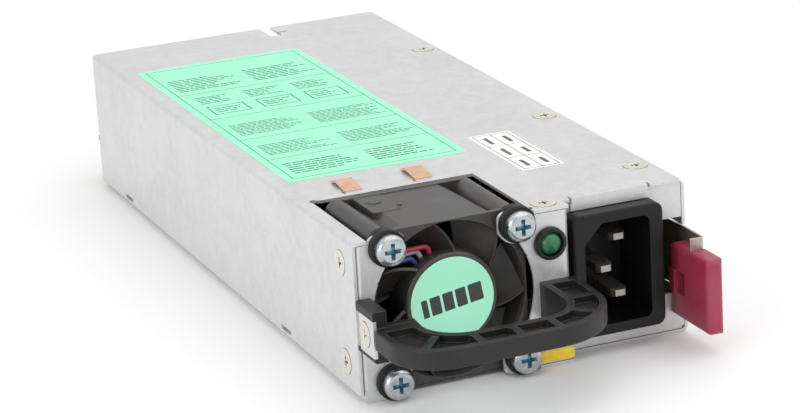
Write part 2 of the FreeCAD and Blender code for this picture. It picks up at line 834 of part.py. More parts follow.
def fan_frame():
    half = fan_size / 2 - fan_barrel_inset
    flanges = [fan_square(fan_front, fan_front + fan_flange), fan_square(fan_back - fan_flange, fan_back)]
    barrel = cone(fan_size / 2 + fan_barrel_front_reach, fan_size / 2 + fan_barrel_rear_reach,
                  (fan_x, fan_front, fan_z), (fan_x, fan_back, fan_z))
    barrel = barrel.common(box(fan_x - half, fan_x + half, fan_front, fan_back, fan_z - half, fan_z + half))
    posts = [rod(fan_post_radius, (x, fan_front, z), (x, fan_back, z)) for x, z in fan_corners()]
    body = join(flanges + [barrel] + posts + fan_shoulder())
    bore = rod(fan_bore / 2, (fan_x, fan_front - 1, fan_z), (fan_x, fan_back + 1, fan_z))
    lip = cone(fan_bore / 2 + fan_lip, fan_bore / 2, (fan_x, fan_front - 0.01, fan_z),
               (fan_x, fan_front + 3 * fan_lip, fan_z))
    holes = [rod(fan_hole_radius, (x, fan_front - 1, z), (x, fan_back + 1, z)) for x, z in fan_corners()]
    body = cut(body, [bore, lip] + holes + fan_wire_notches())
    base = rod(motor_base_radius, (fan_x, motor_base_front, fan_z), (fan_x, motor_skirt_back, fan_z))
    base = soften(base, 0.6, lambda m, s: near(m.y, motor_base_front))
    hollow = rod(motor_base_radius - motor_skirt_wall, (fan_x, motor_base_back, fan_z),
                 (fan_x, motor_skirt_back + 1, fan_z))
    disc_seat = rod(hub_disc_radius, (fan_x, motor_base_front - 1, fan_z),
                    (fan_x, motor_base_front + hub_disc_thickness, fan_z))
    tube = rod(bearing_radius + bearing_tube_wall, (fan_x, motor_base_back - 0.5, fan_z),
               (fan_x, motor_base_back + bearing_tube_length, fan_z))
    base = join([cut(base, [hollow, disc_seat] + skirt_windows()), tube])
    body = join([body, base] + guide_vanes())
    seat = rod(bearing_radius, (fan_x, motor_base_back, fan_z),
               (fan_x, motor_base_back + bearing_tube_length + 1, fan_z))
    return body.cut(seat).removeSplitter()


def bearing_fronts():
    return motor_base_back, motor_base_back + bearing_tube_length - bearing_width


def fan_bearings():
    rings = []
    for y in bearing_fronts():
        ring = rod(bearing_radius, (fan_x, y, fan_z), (fan_x, y + bearing_width, fan_z))
        bore = rod(shaft_radius + bearing_clearance, (fan_x, y - 1, fan_z), (fan_x, y + bearing_width + 1, fan_z))
        rings.append(ring.cut(bore))
    return Part.makeCompound(rings)


def fan_stator():
    """Iron core with a coil on each pole, on the bearing tube inside the magnet ring."""
    y0 = wheel_front + stator_setback
    y1 = y0 + stator_length
    inner = bearing_radius + bearing_tube_wall
    outer = hub_radius - hub_wall - magnet_thickness - air_gap
    core = rod(inner + stator_hub_wall, (0, y0, 0), (0, y1, 0))
    ring = rod(outer, (0, y0, 0), (0, y1, 0)).cut(rod(outer - stator_rim, (0, y0 - 1, 0), (0, y1 + 1, 0)))
    arms = []
    slots = []
    for index in range(pole_count):
        angle = index * 360.0 / pole_count
        arm = box(inner + 0.5, outer - 0.4, y0, y1, -stator_arm_width / 2, stator_arm_width / 2)
        coil = box(inner + 1.8, outer - 1.5, y0 - stator_rim, y1 + stator_rim,
                   -stator_coil_width / 2, stator_coil_width / 2)
        slot = box(0, outer + 1, y0 - 1, y1 + 1, -stator_slot / 2, stator_slot / 2)
        for piece, turn in ((arm, angle), (coil, angle), (slot, angle + 180.0 / pole_count)):
            piece.rotate(V(0, 0, 0), V(0, 1, 0), turn)
        arms += [arm, coil]
        slots.append(slot)
    stator = join([core, ring.cut(Part.makeCompound(slots))] + arms)
    stator = stator.cut(rod(inner, (0, y0 - 3, 0), (0, y1 + 3, 0)))
    return around_fan([stator])[0]


def fan_impeller():
    """The cup that turns round the stator, closed at its rear, with the blades on its rim."""
    hub = rod(hub_radius, (0, wheel_front, 0), (0, wheel_back, 0))
    hub = soften(hub, 0.8, lambda m, s: near(m.y, wheel_back))
    hollow = rod(hub_radius - hub_wall, (0, wheel_front - 1, 0), (0, wheel_back - hub_wall, 0))
    boss = rod(shaft_radius + 1.2, (0, wheel_back - hub_wall - 2.0, 0), (0, wheel_back - 0.2, 0))
    sweep = rod(fan_bore / 2 - tip_gap, (0, wheel_front, 0), (0, wheel_back, 0))
    radii = (hub_radius * 0.75, (hub_radius + fan_bore / 2) / 2, fan_bore / 2 + 0.6)
    blades = []
    for index in range(blade_count):
        wing = swept_wing(wheel_back - 1.2, wheel_front + 0.5, radii, blade_span, blade_sweep,
                          blade_camber, blade_thickness)
        wing.rotate(V(0, 0, 0), V(0, 1, 0), index * 360.0 / blade_count)
        blades.append(wing.common(sweep))
    wheel = join([hub] + blades).cut(hollow)
    wheel = join([wheel, boss])
    wheel = wheel.cut(rod(shaft_radius, (0, wheel_front, 0), (0, wheel_back - 0.6, 0)))
    return around_fan([wheel])[0]


def fan_hub_disc():
    y = motor_base_front
    return rod(hub_disc_radius, (fan_x, y, fan_z), (fan_x, y + hub_disc_thickness, fan_z))


def fan_shaft():
    return rod(shaft_radius, (fan_x, motor_base_back + 0.3, fan_z), (fan_x, wheel_back - 0.6, fan_z))


def fan_magnet():
    y0 = wheel_front + 0.8
    y1 = wheel_back - hub_wall - 2.4
    outer = hub_radius - hub_wall
    ring = rod(outer, (fan_x, y0, fan_z), (fan_x, y1, fan_z))
    return ring.cut(rod(outer - magnet_thickness, (fan_x, y0 - 1, fan_z), (fan_x, y1 + 1, fan_z)))


def fan_driver_board():
    """The motor's small round board, on the bearing tube inside the skirt."""
    radius = motor_base_radius - motor_skirt_wall - 0.3
    board = rod(radius, (fan_x, driver_board_front, fan_z), (fan_x, driver_board_back, fan_z))
    tube = bearing_radius + bearing_tube_wall
    return board.cut(rod(tube, (fan_x, driver_board_front - 1, fan_z), (fan_x, driver_board_back + 1, fan_z)))


def fan_grommets():
    rings = []
    for x, z in fan_corners():
        collar = rod(grommet_radius, (x, front - grommet_collar, z), (x, front, z))
        collar = soften(collar, 0.5, lambda m, s: near(m.y, front - grommet_collar))
        neck = rod(grommet_neck_radius, (x, front - 0.5, z), (x, front + sheet + 0.2, z))
        seat = rod(grommet_radius - 0.3, (x, front + sheet, z), (x, fan_front, z))
        bore = rod(fan_screw_radius + screw_play, (x, front - 3, z), (x, fan_front + 1, z))
        rings.append(join([collar, neck, seat]).cut(bore))
    return Part.makeCompound(rings)


def fan_screws():
    screws = []
    for x, z in fan_corners():
        top = front - grommet_collar - fan_screw_head_height
        head = rod(fan_screw_head_radius, (x, top, z), (x, front - grommet_collar, z))
        head = soften(head, 1.2, lambda m, s: near(m.y, top))
        shank = rod(fan_screw_radius, (x, top + 1, z), (x, front - grommet_collar + fan_screw_length, z))
        drive = cross_recess((x, top, z), (0, 1, 0), drive_span, drive_width, drive_depth)
        screws.append(cut(head.fuse(shank), drive).removeSplitter())
    return Part.makeCompound(screws)


def fan_wire_height(index):
    below_post = fan_z + fan_pitch / 2 - fan_post_radius
    return below_post - wire_radius - 0.15 - index * fan_wire_spacing


def fan_wire_x():
    return fan_x - fan_size / 2 + wire_radius


def fan_wire_route(index):
    """From the motor's board out of the bore, back along the barrel's left side, down to the plug."""
    angle = math.radians(fan_wire_angles[index])
    across = V(math.cos(angle), 0, math.sin(angle))
    y = fan_wire_y + index % 2 * fan_wire_stagger
    centre = V(fan_x, y, fan_z)
    start = centre + across * (motor_base_radius - 2.6)
    outside = centre + across * (motor_base_radius + 1.6)
    x, z = fan_wire_x(), fan_wire_height(index)
    plug_x, plug_y, plug_z = fan_plug_place()
    plug_x += (1 - index) * fan_plug_pitch
    plug_y += 2.0
    turn_y = fan_back + 6.0 + (2 - index) * fan_wire_turn_step
    return [tuple(start), tuple(outside), (x, y, z), (x, turn_y, z),
            (plug_x, plug_y, plug_z + 14.0 - index * fan_plug_pitch), (plug_x, plug_y, plug_z + 5.0)]


def fan_wire(index):
    return tube_path(fan_wire_route(index), wire_radius * 2, wire_radius)


def fan_wire_red():
    return fan_wire(0)


def fan_wire_white():
    return fan_wire(1)


def fan_wire_blue():
    return fan_wire(2)


def fan_plug_place():
    return (fan_x - fan_plug_aside, board_front + fan_plug_depth, board_top)


def fan_plug():
    x, y, z = fan_plug_place()
    half = fan_plug_width / 2
    return soften(box(x - half, x + half, y, y + fan_plug_depth, z + 1.6, z + fan_header_height + 0.8), 0.4,
                  lambda m, s: runs_along(s, V(0, 0, 1)))


def fan_header():
    x, y, z = fan_plug_place()
    wall = (fan_header_width - fan_plug_width) / 2
    half = fan_header_width / 2
    shell = box(x - half, x + half, y - wall, y + fan_plug_depth + wall, z, z + fan_header_height)
    return shell.cut(box(x - half + wall, x + half - wall, y, y + fan_plug_depth, z + 1.6, z + fan_header_height + 1))


# Status light

def led_bezel():
    collar = rod(led_bezel_radius, (led_x, front - led_bezel_stand, led_height), (led_x, front, led_height))
    collar = soften(collar, 0.5, lambda m, s: near(m.y, front - led_bezel_stand))
    body = rod(led_hole_radius, (led_x, front - 0.5, led_height), (led_x, front + 6.5, led_height))
    bore = rod(led_dome_radius, (led_x, front - 3, led_height), (led_x, front + 8, led_height))
    return join([collar, body]).cut(bore)


def led_lamp():
    tip = front - led_bezel_stand - led_dome_stand
    centre = tip + led_dome_radius
    dome = Part.makeSphere(led_dome_radius, V(led_x, centre, led_height))
    body = rod(led_dome_radius, (led_x, centre, led_height), (led_x, front + led_body_length, led_height))
    return join([dome, body])


def led_leads():
    leads = []
    slope_start = board_front - led_lead_slope
    slope_end = board_front + led_lead_slope
    for side in (-1, 1):
        x = led_x + side * led_lead_spacing / 2
        route = [(x, front + led_body_length, led_height), (x, slope_start, led_height),
                 (x, slope_end, board_top + led_lead_height), (x, slope_end, board_top)]
        leads.append(tube_path(route, 6 * led_lead_radius, led_lead_radius))
    return Part.makeCompound(leads)


# Mains inlet

def inlet_cavity(depth):
    """The socket's space: a rectangle with both corners cut off on the earth side."""
    w = inlet_frame_width / 2 - inlet_wall
    h = inlet_cavity_height / 2
    c = inlet_cavity_chamfer
    x = inlet_x + inlet_cavity_shift
    y = front - 1
    outline = [(-w, h - c), (-w + c, h), (w, h), (w, -h), (-w + c, -h), (-w, -h + c)]
    points = [(x + u, y, inlet_height + v) for u, v in outline]
    space = prism(points, (0, depth + 1, 0))
    space = soften(space, inlet_cavity_corner, lambda m, s: runs_along(s, V(0, 1, 0)) and near(m.x, x + w))
    return soften(space, inlet_chamfer_corner, lambda m, s: runs_along(s, V(0, 1, 0)) and m.x < x - w + c + 0.1
                  and m.y > front and abs(m.z - inlet_height) < h + 0.1)


def inlet_housing():
    w = inlet_frame_width / 2
    h = inlet_frame_height / 2
    frame = rounded_block(inlet_x - w, inlet_x + w, front, recess_face, inlet_height - h, inlet_height + h,
                          inlet_frame_radius, V(0, 1, 0))
    frame = soften(frame, 0.5, lambda m, s: near(m.y, front))
    w = inlet_frame_width / 2 - inlet_body_inset
    h = inlet_body_height / 2
    body = rounded_block(inlet_x - w, inlet_x + w, recess_face - 1, front + inlet_body_depth,
                         inlet_height - h, inlet_height + h, 1.5, V(0, 1, 0))
    housing = join([frame, body]).cut(inlet_cavity(inlet_cavity_depth))
    slots = []
    for x, z in pin_places():
        slots.append(box(x - pin_width / 2, x + pin_width / 2, front + inlet_cavity_depth - 1,
                         front + inlet_body_depth + 1, z - pin_thickness / 2, z + pin_thickness / 2))
    return cut(housing, slots)


def pin_places():
    """Line, earth and neutral: the two live pins are in a column, the earth pin is beside it."""
    live_x = inlet_x + pin_offset
    return [(live_x, inlet_height + pin_spacing / 2), (inlet_x - pin_offset, inlet_height),
            (live_x, inlet_height - pin_spacing / 2)]


def inlet_pins():
    pins = []
    for index, (x, z) in enumerate(pin_places()):
        lead = earth_pin_lead if index == 1 else 0
        tip = front + pin_tip_depth - lead
        neck = tip + pin_tip_taper
        blade = box(x - pin_width / 2, x + pin_width / 2, neck, front + inlet_body_depth + pin_tail,
                    z - pin_thickness / 2, z + pin_thickness / 2)
        ends = []
        for y, width, height in ((tip, pin_tip_width, pin_tip_thickness), (neck, pin_width, pin_thickness)):
            corners = [(x - width / 2, y, z - height / 2), (x + width / 2, y, z - height / 2),
                       (x + width / 2, y, z + height / 2), (x - width / 2, y, z + height / 2)]
            ends.append(Part.makePolygon([V(*c) for c in corners + corners[:1]]))
        pins.append(blade.fuse(Part.makeLoft(ends, True, True)).removeSplitter())
    return Part.makeCompound(pins)


def inlet_leads():
    leads = []
    for index, (x, z) in enumerate(pin_places()):
        y = front + inlet_body_depth + pin_tail
        down = board_front + 3.0 + index * 4.0
        route = [(x, y, z), (x, down, z), (x, down, board_top)]
        leads.append(tube_path(route, 2.6, mains_wire_radius))
    return Part.makeCompound(leads)


# Handle

def handle_plan(z):
    """The handle seen from above: a bar joining a short left arm and a long right arm."""
    x0 = handle_left
    x1 = handle_right
    y0 = handle_front
    ra = handle_left_radius
    rb = handle_right_radius
    ri = handle_inner_radius
    q = 1 - math.sqrt(0.5)
    bar_y = y0 + handle_bar_width
    arm_left = x0 + handle_left_arm_width
    arm_right = x1 - handle_right_arm_width
    block_y = front - handle_block_length
    rear_y = front - handle_arm_rear_gap
    joint_x = x0 + handle_block_width - 0.5

    def line(a, b):
        return Part.LineSegment(V(*a, z), V(*b, z)).toShape()

    def arc(a, m, b):
        return Part.Arc(V(*a, z), V(*m, z), V(*b, z)).toShape()

    edges = [
        line((x0, block_y), (x0, y0 + ra)),
        arc((x0, y0 + ra), (x0 + ra * q, y0 + ra * q), (x0 + ra, y0)),
        line((x0 + ra, y0), (x1 - rb, y0)),
        arc((x1 - rb, y0), (x1 - rb * q, y0 + rb * q), (x1, y0 + rb)),
        line((x1, y0 + rb), (x1, front)),
        line((x1, front), (arm_right, front)),
        line((arm_right, front), (arm_right, bar_y + ri)),
        arc((arm_right, bar_y + ri), (arm_right - ri * q, bar_y + ri * q), (arm_right - ri, bar_y)),
        line((arm_right - ri, bar_y), (arm_left + ri, bar_y)),
        arc((arm_left + ri, bar_y), (arm_left + ri * q, bar_y + ri * q), (arm_left, bar_y + ri)),
        line((arm_left, bar_y + ri), (arm_left + 0.5, rear_y)),
        line((arm_left + 0.5, rear_y), (joint_x, rear_y + 0.6)),
        line((joint_x, rear_y + 0.6), (joint_x, block_y)),
        line((joint_x, block_y), (x0, block_y)),
    ]
    return Part.Face(Part.Wire(Part.__sortEdges__(edges)))


def rib_at(x, y, degrees, length, low):
    """A short upright bar on the bottom of the pockets, turned about its middle."""
    rib = box(-length / 2, length / 2, -handle_rib / 2, handle_rib / 2, low, handle_top)
    rib.rotate(V(0, 0, 0), V(0, 0, 1), degrees)
    rib.translate(V(x, y, 0))
    return rib


def handle_ribs():
    """Bars left standing between the pockets, and the plain end of the left arm."""
    low = handle_top - handle_pocket_depth - 0.1
    across = handle_bar_width + 2
    middle_y = handle_front + handle_bar_width / 2
    span = handle_right - handle_left
    ribs = [rib_at(handle_left + share * span, middle_y, 90.0, across, low) for share in handle_rib_places]
    corners = ((handle_left, handle_left_radius, 180.0 + handle_left_rib_angle, 1),
               (handle_right, handle_right_radius, -handle_right_rib_angle, -1))
    for edge, radius, degrees, inward in corners:
        turn = math.radians(degrees)
        reach = radius - handle_bar_width / 2
        x = edge + inward * radius + reach * math.cos(turn)
        y = handle_front + radius + reach * math.sin(turn)
        ribs.append(rib_at(x, y, degrees, across, low))
    arm_middle = handle_right - handle_right_arm_width / 2
    ribs.append(rib_at(arm_middle, front - handle_cross_rib_setback, 0.0, across, low))
    ribs.append(box(arm_middle - across / 2, handle_right, front - handle_foot_thickness, front, low, handle_top))
    ribs.append(box(handle_left, handle_left + handle_left_arm_width + 1, front - handle_arm_plain, front,
                    low, handle_top))
    return ribs


def handle():
    plan = handle_plan(handle_bottom)
    bar = plan.extrude(V(0, 0, handle_thickness))
    bar = soften(bar, handle_edge_radius, handle_outer_rim)
    inset = handle_plan(handle_top).makeOffset2D(-handle_rim)
    pockets = inset.extrude(V(0, 0, -handle_pocket_depth)).cut(Part.makeCompound(handle_ribs()))
    groove_y = front - handle_arm_rear_gap - handle_rim
    groove = box(handle_left + handle_block_width, handle_left + handle_left_arm_width + 1,
                 groove_y - handle_groove, groove_y, handle_top - 2 * handle_groove, handle_top + 1)
    bar = bar.cut(pockets).cut(groove)
    block = box(handle_left, handle_left + handle_block_width, front - handle_block_length, front,
                handle_block_low, handle_block_high)
    block = soften(block, 0.6, lambda m, s: m.x < handle_left + 0.1 and runs_along(s, V(0, 1, 0)))
    rebate = box(handle_left - 1, handle_left + sheet, front - handle_block_length - 1, front + 1,
                 tab_low, tab_high)
    jog_room = box(handle_left - 1, inner_left + sheet + 0.1, front - 1.9, front + 1, tab_low, tab_high)
    arm = handle_right - handle_right_arm_width
    foot = box(arm, handle_right, front - handle_foot_thickness, front, handle_foot_low, handle_top)
    webs = []
    for x in (arm, handle_right - handle_rim):
        corners = [(x, front - 1, handle_foot_low), (x, front - handle_foot_thickness, handle_foot_low),
                   (x, front - 14.0, handle_bottom + 0.1), (x, front - 1, handle_bottom + 0.1)]
        webs.append(prism(corners, (handle_rim, 0, 0)))
    boss = rod(2.6, foot_screw_place(), (foot_screw_place()[0], front - 6.0, foot_screw_place()[2]))
    body = join([bar, block, foot, boss] + webs)
    head = tab_screw_head()
    bores = [flat_screw_seat(head, (1, 0, 0))]
    place = foot_screw_place()
    bores.append(rod(flat_shank_radius, (place[0], front + 1, place[2]), (place[0], front - 4.2, place[2])))
    return cut(body, [rebate, jog_room] + bores).removeSplitter()


def handle_outer_rim(middle, span):
    """The top and bottom edges round the outside of the bar and of both arms."""
    level = near(middle.z, handle_top) or near(middle.z, handle_bottom)
    outside = middle.y < handle_front + handle_bar_width / 2
    outside = outside or near(middle.x, handle_right) or near(middle.x, handle_left)
    return level and outside


def foot_screw_place():
    return (handle_right - foot_screw_inset, front, handle_foot_low + 2.6)


def handle_screws():
    x, y, z = foot_screw_place()
    head = rod(foot_screw_head_radius, (x, front + sheet, z), (x, front + sheet + 1.9, z))
    head = soften(head, 0.6, lambda m, s: near(m.y, front + sheet + 1.9))
    shank = rod(flat_shank_radius, (x, front + sheet + 1.9 - foot_screw_length, z), (x, front + sheet + 1, z))
    inner = head.fuse(shank).removeSplitter()
    return Part.makeCompound([flat_screw(tab_screw_head(), (1, 0, 0), tab_screw_length), inner])


# Release latch

def leaf_path():
    return [(leaf_x, leaf_root_y), (leaf_x, front + leaf_flare_start), (leaf_outer_x, front + leaf_flare_end),
            (leaf_outer_x, leaf_front + leaf_thickness / 2),
            (leaf_outer_x - leaf_hook, leaf_front + leaf_thickness / 2)]


def latch_leaf():
    return bent_sheet(leaf_path(), leaf_thickness, 0.3, "xy", leaf_low, leaf_high)


def latch_foot():
    """The riveted end of the leaf spring, seated on the wall behind the flex line."""
    y0 = leaf_root_y + flex_gap
    x1 = right - sheet
    foot = rounded_block(x1 - leaf_thickness, x1, y0, y0 + leaf_foot_length, leaf_low, leaf_high, 0.1, V(1, 0, 0))
    return cut(foot, [rod(rivet_radius, (x1 - 2, y, z), (x1 + 1, y, z)) for y, z in rivet_places()])


def rivet_places():
    y = leaf_root_y + flex_gap + leaf_foot_length / 2
    middle = (leaf_low + leaf_high) / 2
    return [(y, middle - 4.0), (y, middle + 4.0)]


def latch_rivets():
    rivets = []
    x1 = right - sheet - leaf_thickness
    for y, z in rivet_places():
        head = rod(rivet_radius + 1.0, (x1 - 0.8, y, z), (x1, y, z))
        head = soften(head, 0.5, lambda m, s: near(m.x, x1 - 0.8))
        rivets.append(head.fuse(rod(rivet_radius, (x1 - 0.4, y, z), (right, y, z))).removeSplitter())
    return Part.makeCompound(rivets)


def latch_paddle():
    """A thumb plate moulded in a flat grip, hooked on the front of the leaf spring."""
    grip = box(paddle_left, paddle_right, paddle_front, paddle_rear, paddle_low, paddle_high)
    grip = soften(grip, paddle_radius, lambda m, s: m.y < paddle_front + 0.1 or not near(m.x, paddle_right)
                  and (m.y < paddle_rear - 0.1 or near(m.z, paddle_high)))
    inner_face = right - leaf_thickness - 0.05
    seat = box(inner_face, right + 1, leaf_front - 0.05, paddle_rear + 1, leaf_low - 0.1, paddle_high + 1)
    hook = box(leaf_outer_x - leaf_hook - 0.1, right + 1, leaf_front - 0.05, leaf_front + leaf_thickness + 0.4,
               leaf_low - 0.1, paddle_high + 1)
    window_y = paddle_rear - 2.7
    window_z = (leaf_low + leaf_high) / 2 - 4.2
    window = box(paddle_left - 2, inner_face + 1, window_y - paddle_window_length, window_y,
                 window_z - paddle_window_height / 2, window_z + paddle_window_height / 2)
    clip = box(paddle_left - 0.6, paddle_left + 0.5, window_y, paddle_rear,
               window_z - paddle_window_height / 2, window_z + paddle_window_height / 2)
    return cut(grip.fuse(clip), [seat, hook, window]).removeSplitter()


# Boards

def main_circuit_board():
    board = box(board_left, board_right, board_front, board_rear, board_level, board_top)
    corner = box(board_right - 9.0, board_right + 1, board_front - 1, board_front + 4.0, 0, board_top + 1)
    holes = [rod(board_screw_radius + 0.1, (x, y, 0), (x, y, 10)) for x, y in standoff_places()]
    return cut(board, [corner] + holes)


def standoff_places():
    inset = 4.5
    middle = (board_front + board_rear) / 2
    places = []
    for y in (board_front + inset + 4.0, middle, board_rear - inset):
        for x in (board_left + inset, board_right - inset):
            places.append((x, y))
    return places


def board_standoffs():
    posts = []
    for x, y in standoff_places():
        post = rod(standoff_radius, (x, y, sheet), (x, y, board_level))
        posts.append(post.cut(rod(board_screw_radius, (x, y, sheet + 0.6), (x, y, board_level + 1))))
    return Part.makeCompound(posts)


def board_screws():
    screws = []
    for x, y in standoff_places():
        top = board_top + 1.7
        head = rod(2.5, (x, y, board_top), (x, y, top))
        head = soften(head, 0.6, lambda m, s: near(m.z, top))
        shank = rod(board_screw_radius, (x, y, sheet + 1.0), (x, y, board_top + 0.5))
        slot = box(x - 1.4, x + 1.4, y - 0.3, y + 0.3, top - 0.8, top + 1)
        screws.append(head.fuse(shank).cut(slot).removeSplitter())
    return Part.makeCompound(screws)


def insulation_sheet():
    film = box(board_left, board_right, board_front, board_rear, sheet, sheet + 0.4)
    return cut(film, [rod(standoff_radius + 0.3, (x, y, 0), (x, y, 3)) for x, y in standoff_places()])


def edge_board_left():
    return left + edge_board_inset


def output_edge_board():
    """The board whose rear edge plugs into the server, with its lead-in chamfered."""
    x0 = edge_board_left()
    x1 = x0 + edge_board_width
    tip = rear + edge_board_reach
    board = box(x0, x1, rear - edge_board_inside, tip, edge_board_level, edge_board_level + board_thickness)
    board = board.makeChamfer(0.4, [e for e in board.Edges if all(near(v.Y, tip) for v in e.Vertexes)
                                    and runs_along(e.Vertexes[1].Point - e.Vertexes[0].Point, V(1, 0, 0))])
    key = box(x0 + edge_board_width * 0.62, x0 + edge_board_width * 0.62 + 1.6, rear + 1.5, tip + 1, 0, 20)
    return board.cut(key)


def contact_places():
    """Left edge and width of each gold contact: wide for power, narrow for signals."""
    places = []
    x = edge_board_left() + 1.2
    key = edge_board_left() + edge_board_width * 0.62
    end = edge_board_left() + edge_board_width - 1.2
    widths = [power_contact_width] * 5 + [signal_contact_width] * 9 + [power_contact_width] * 6
    for width in widths:
        if x < key + 1.6 + contact_gap and x + width > key - contact_gap:
            x = key + 1.6 + contact_gap
        if x + width > end:
            break
        places.append((x, width))
        x += width + contact_gap
    return places


def edge_contacts():
    y1 = rear + edge_board_reach - 0.9
    top = edge_board_level + board_thickness
    contacts = []
    for x, width in contact_places():
        for z in (edge_board_level - contact_thickness, top):
            contacts.append(box(x, x + width, y1 - contact_length, y1, z, z + contact_thickness))
    return Part.makeCompound(contacts)


def output_busbars():
    bars = []
    y0 = rear - edge_board_inside + 1.0
    y1 = board_rear - 1.0
    for share in (0.26, 0.46, 0.66, 0.86):
        x = edge_board_left() + edge_board_width * share
        bars.append(box(x - 4.5, x + 4.5, y0, y1, board_top, edge_board_level))
    return Part.makeCompound(bars)


def across(share):
    """A place across the main board, as a share of its width from the left."""
    return board_left + share * board_width


def along(share):
    """A place along the main board, as a share of its length from the front."""
    return board_front + share * board_length


def above(share):
    """A height above the main board, as a share of the room under the cover."""
    return board_top + share * room_height


def control_board():
    x = board_right - control_board_inset
    board = box(x - board_thickness / 2, x + board_thickness / 2, along(0.41), along(0.83), board_top, above(0.7))
    return board.cut(box(x - 2, x + 2, along(0.54), along(0.7), board_top - 1, above(0.08)))


# Power parts on the main board

def bulk_capacitors():
    cans = []
    radius = board_width * 0.15
    y0, y1 = along(0.095), along(0.39)
    z = board_top + radius
    for share in (0.165, 0.48):
        x = across(share)
        can = rod(radius, (x, y0, z), (x, y1, z))
        can = soften(can, 1.2, lambda m, s: near(m.y, y0) or near(m.y, y1))
        ring = rod(radius + 1, (x, y0 + 3.6, z), (x, y0 + 4.8, z))
        ring = ring.cut(rod(radius - 0.7, (x, y0 + 3, z), (x, y0 + 6, z)))
        cans.append(can.cut(ring))
    return Part.makeCompound(cans)


def choke(x, y, big, small, span):
    """A toroid standing on the board: its bare ring and the wound stretches over it."""
    z = board_top + big + small * 1.6
    centre = V(x, y, z)
    ring = Part.makeTorus(big, small, centre, V(0, 1, 0))
    coils = []
    for start in (-span / 2, 180 - span / 2):
        coil = Part.makeTorus(big, small * 1.5, centre, V(0, 1, 0), 0, 360, span)
        coil.rotate(centre, V(0, 1, 0), start)
        coils.append(coil.cut(ring))
    return ring, Part.makeCompound(coils)


def line_choke():
    return choke(across(0.81), along(0.15), board_width * 0.095, min(board_width, board_length / 2) * 0.036, 140.0)


def line_choke_core():
    return line_choke()[0]


def line_choke_windings():
    return line_choke()[1]


def pfc_choke():
    return choke(across(0.81), along(0.335), board_width * 0.1, min(board_width, board_length / 2) * 0.038, 160.0)


def pfc_choke_core():
    return pfc_choke()[0]


def pfc_choke_windings():
    return pfc_choke()[1]


def filter_capacitors():
    blocks = []
    for share in (0.19, 0.243):
        block = box(across(0.7), across(0.92), along(share), along(share + 0.043), board_top, above(0.45))
        blocks.append(soften(block, 0.6, lambda m, s: m.z > board_top + 1))
    return Part.makeCompound(blocks)


def line_fuse():
    """The mains fuse, lying between the fan's header and the lamp's leads."""
    x0 = fan_plug_place()[0] + fan_header_width / 2 + fuse_header_gap
    x1 = led_x - led_lead_spacing / 2 - led_lead_radius - fuse_lead_gap
    y = board_front + fuse_setback
    z = board_top + fuse_lift
    half = fuse_foot_width / 2
    body = rod(fuse_radius, (x0, y, z), (x1, y, z))
    feet = [box(x - half, x + half, y - half, y + half, board_top, z) for x in (x0 + fuse_foot_inset, x1 - fuse_foot_inset)]
    return join([body] + feet)


def finned_sink(x0, x1, y0, y1, top):
    """An extruded heatsink: an upright spine with level fins to one side."""
    spine = box(x0, x0 + (x1 - x0) / 4, y0, y1, board_top, top)
    fins = []
    fin_count = 6
    pitch = (top - board_top) / fin_count
    for index in range(fin_count):
        z = board_top + (index + 0.4) * pitch
        fins.append(box(x0 + 1, x1, y0, y1, z, z + pitch / 4))
    return join([spine] + fins)


def primary_heatsink():
    return finned_sink(across(0.71), across(0.83), along(0.415), along(0.655), above(0.87))


def power_transistors():
    cases = []
    for share in (0.435, 0.515, 0.595):
        cases.append(box(across(0.66), across(0.71), along(share), along(share + 0.055), above(0.1), above(0.6)))
    return Part.makeCompound(cases)


transformer_half_width = board_width * 0.237
transformer_limb = transformer_half_width * 0.29


def transformer_place():
    return across(0.345), along(0.535)


def transformer_core():
    """Ferrite E-core: two side legs and a round middle leg joined at both ends."""
    x, y = transformer_place()
    half_x = transformer_half_width
    half_y = board_length * 0.07
    inner = half_x - transformer_limb
    block = box(x - half_x, x + half_x, y - half_y, y + half_y, board_top, above(0.87))
    gap = box(x - inner, x + inner, y - half_y - 1, y + half_y + 1, above(0.17), above(0.7))
    leg = rod(half_y * 0.65, (x, y, above(0.16)), (x, y, above(0.71)))
    return block.cut(gap).fuse(leg).removeSplitter()


def transformer_winding():
    x, y = transformer_place()
    radius = transformer_half_width - transformer_limb - part_gap / 2
    coil = rod(radius, (x, y, above(0.19)), (x, y, above(0.68)))
    return coil.cut(rod(board_length * 0.07 * 0.65 + 0.3, (x, y, board_top), (x, y, body_height)))


def secondary_heatsink():
    return finned_sink(across(0.04), across(0.18), along(0.645), along(0.85), above(0.8))


def output_capacitors():
    cans = []
    pitch = min(board_width * 0.136, board_length * 0.076)
    radius = (pitch - part_gap) / 2
    top = above(0.58)
    for row in range(2):
        for column in range(4):
            x = across(0.26) + column * pitch
            y = along(0.71) + row * pitch
            can = rod(radius, (x, y, board_top), (x, y, top))
            cans.append(soften(can, 0.6, lambda m, s: near(m.z, top)))
    return Part.makeCompound(cans)


pieces = [
    base_tray, top_cover, left_bracket, front_panel, rear_panel, cover_screws, side_screws, copper_fingers,
    fan_frame, fan_bearings, fan_stator, fan_driver_board, fan_grommets, fan_screws,
    fan_wire_red, fan_wire_white, fan_wire_blue, fan_plug, fan_header,
    fan_impeller, fan_hub_disc, fan_shaft, fan_magnet,
    led_bezel, led_lamp, led_leads, inlet_housing, inlet_pins, inlet_leads,
    handle, handle_screws, latch_leaf, latch_paddle, latch_foot, latch_rivets,
    main_circuit_board, board_standoffs, board_screws, insulation_sheet,
    output_edge_board, edge_contacts, output_busbars, control_board,
    bulk_capacitors, line_choke_core, line_choke_windings, pfc_choke_core, pfc_choke_windings,
    filter_capacitors, line_fuse, primary_heatsink, power_transistors,
    transformer_core, transformer_winding, secondary_heatsink, output_capacitors,
]

os.makedirs("parts", exist_ok=True)
for piece in pieces:
    piece().exportStep("parts/" + piece.__name__ + ".step")
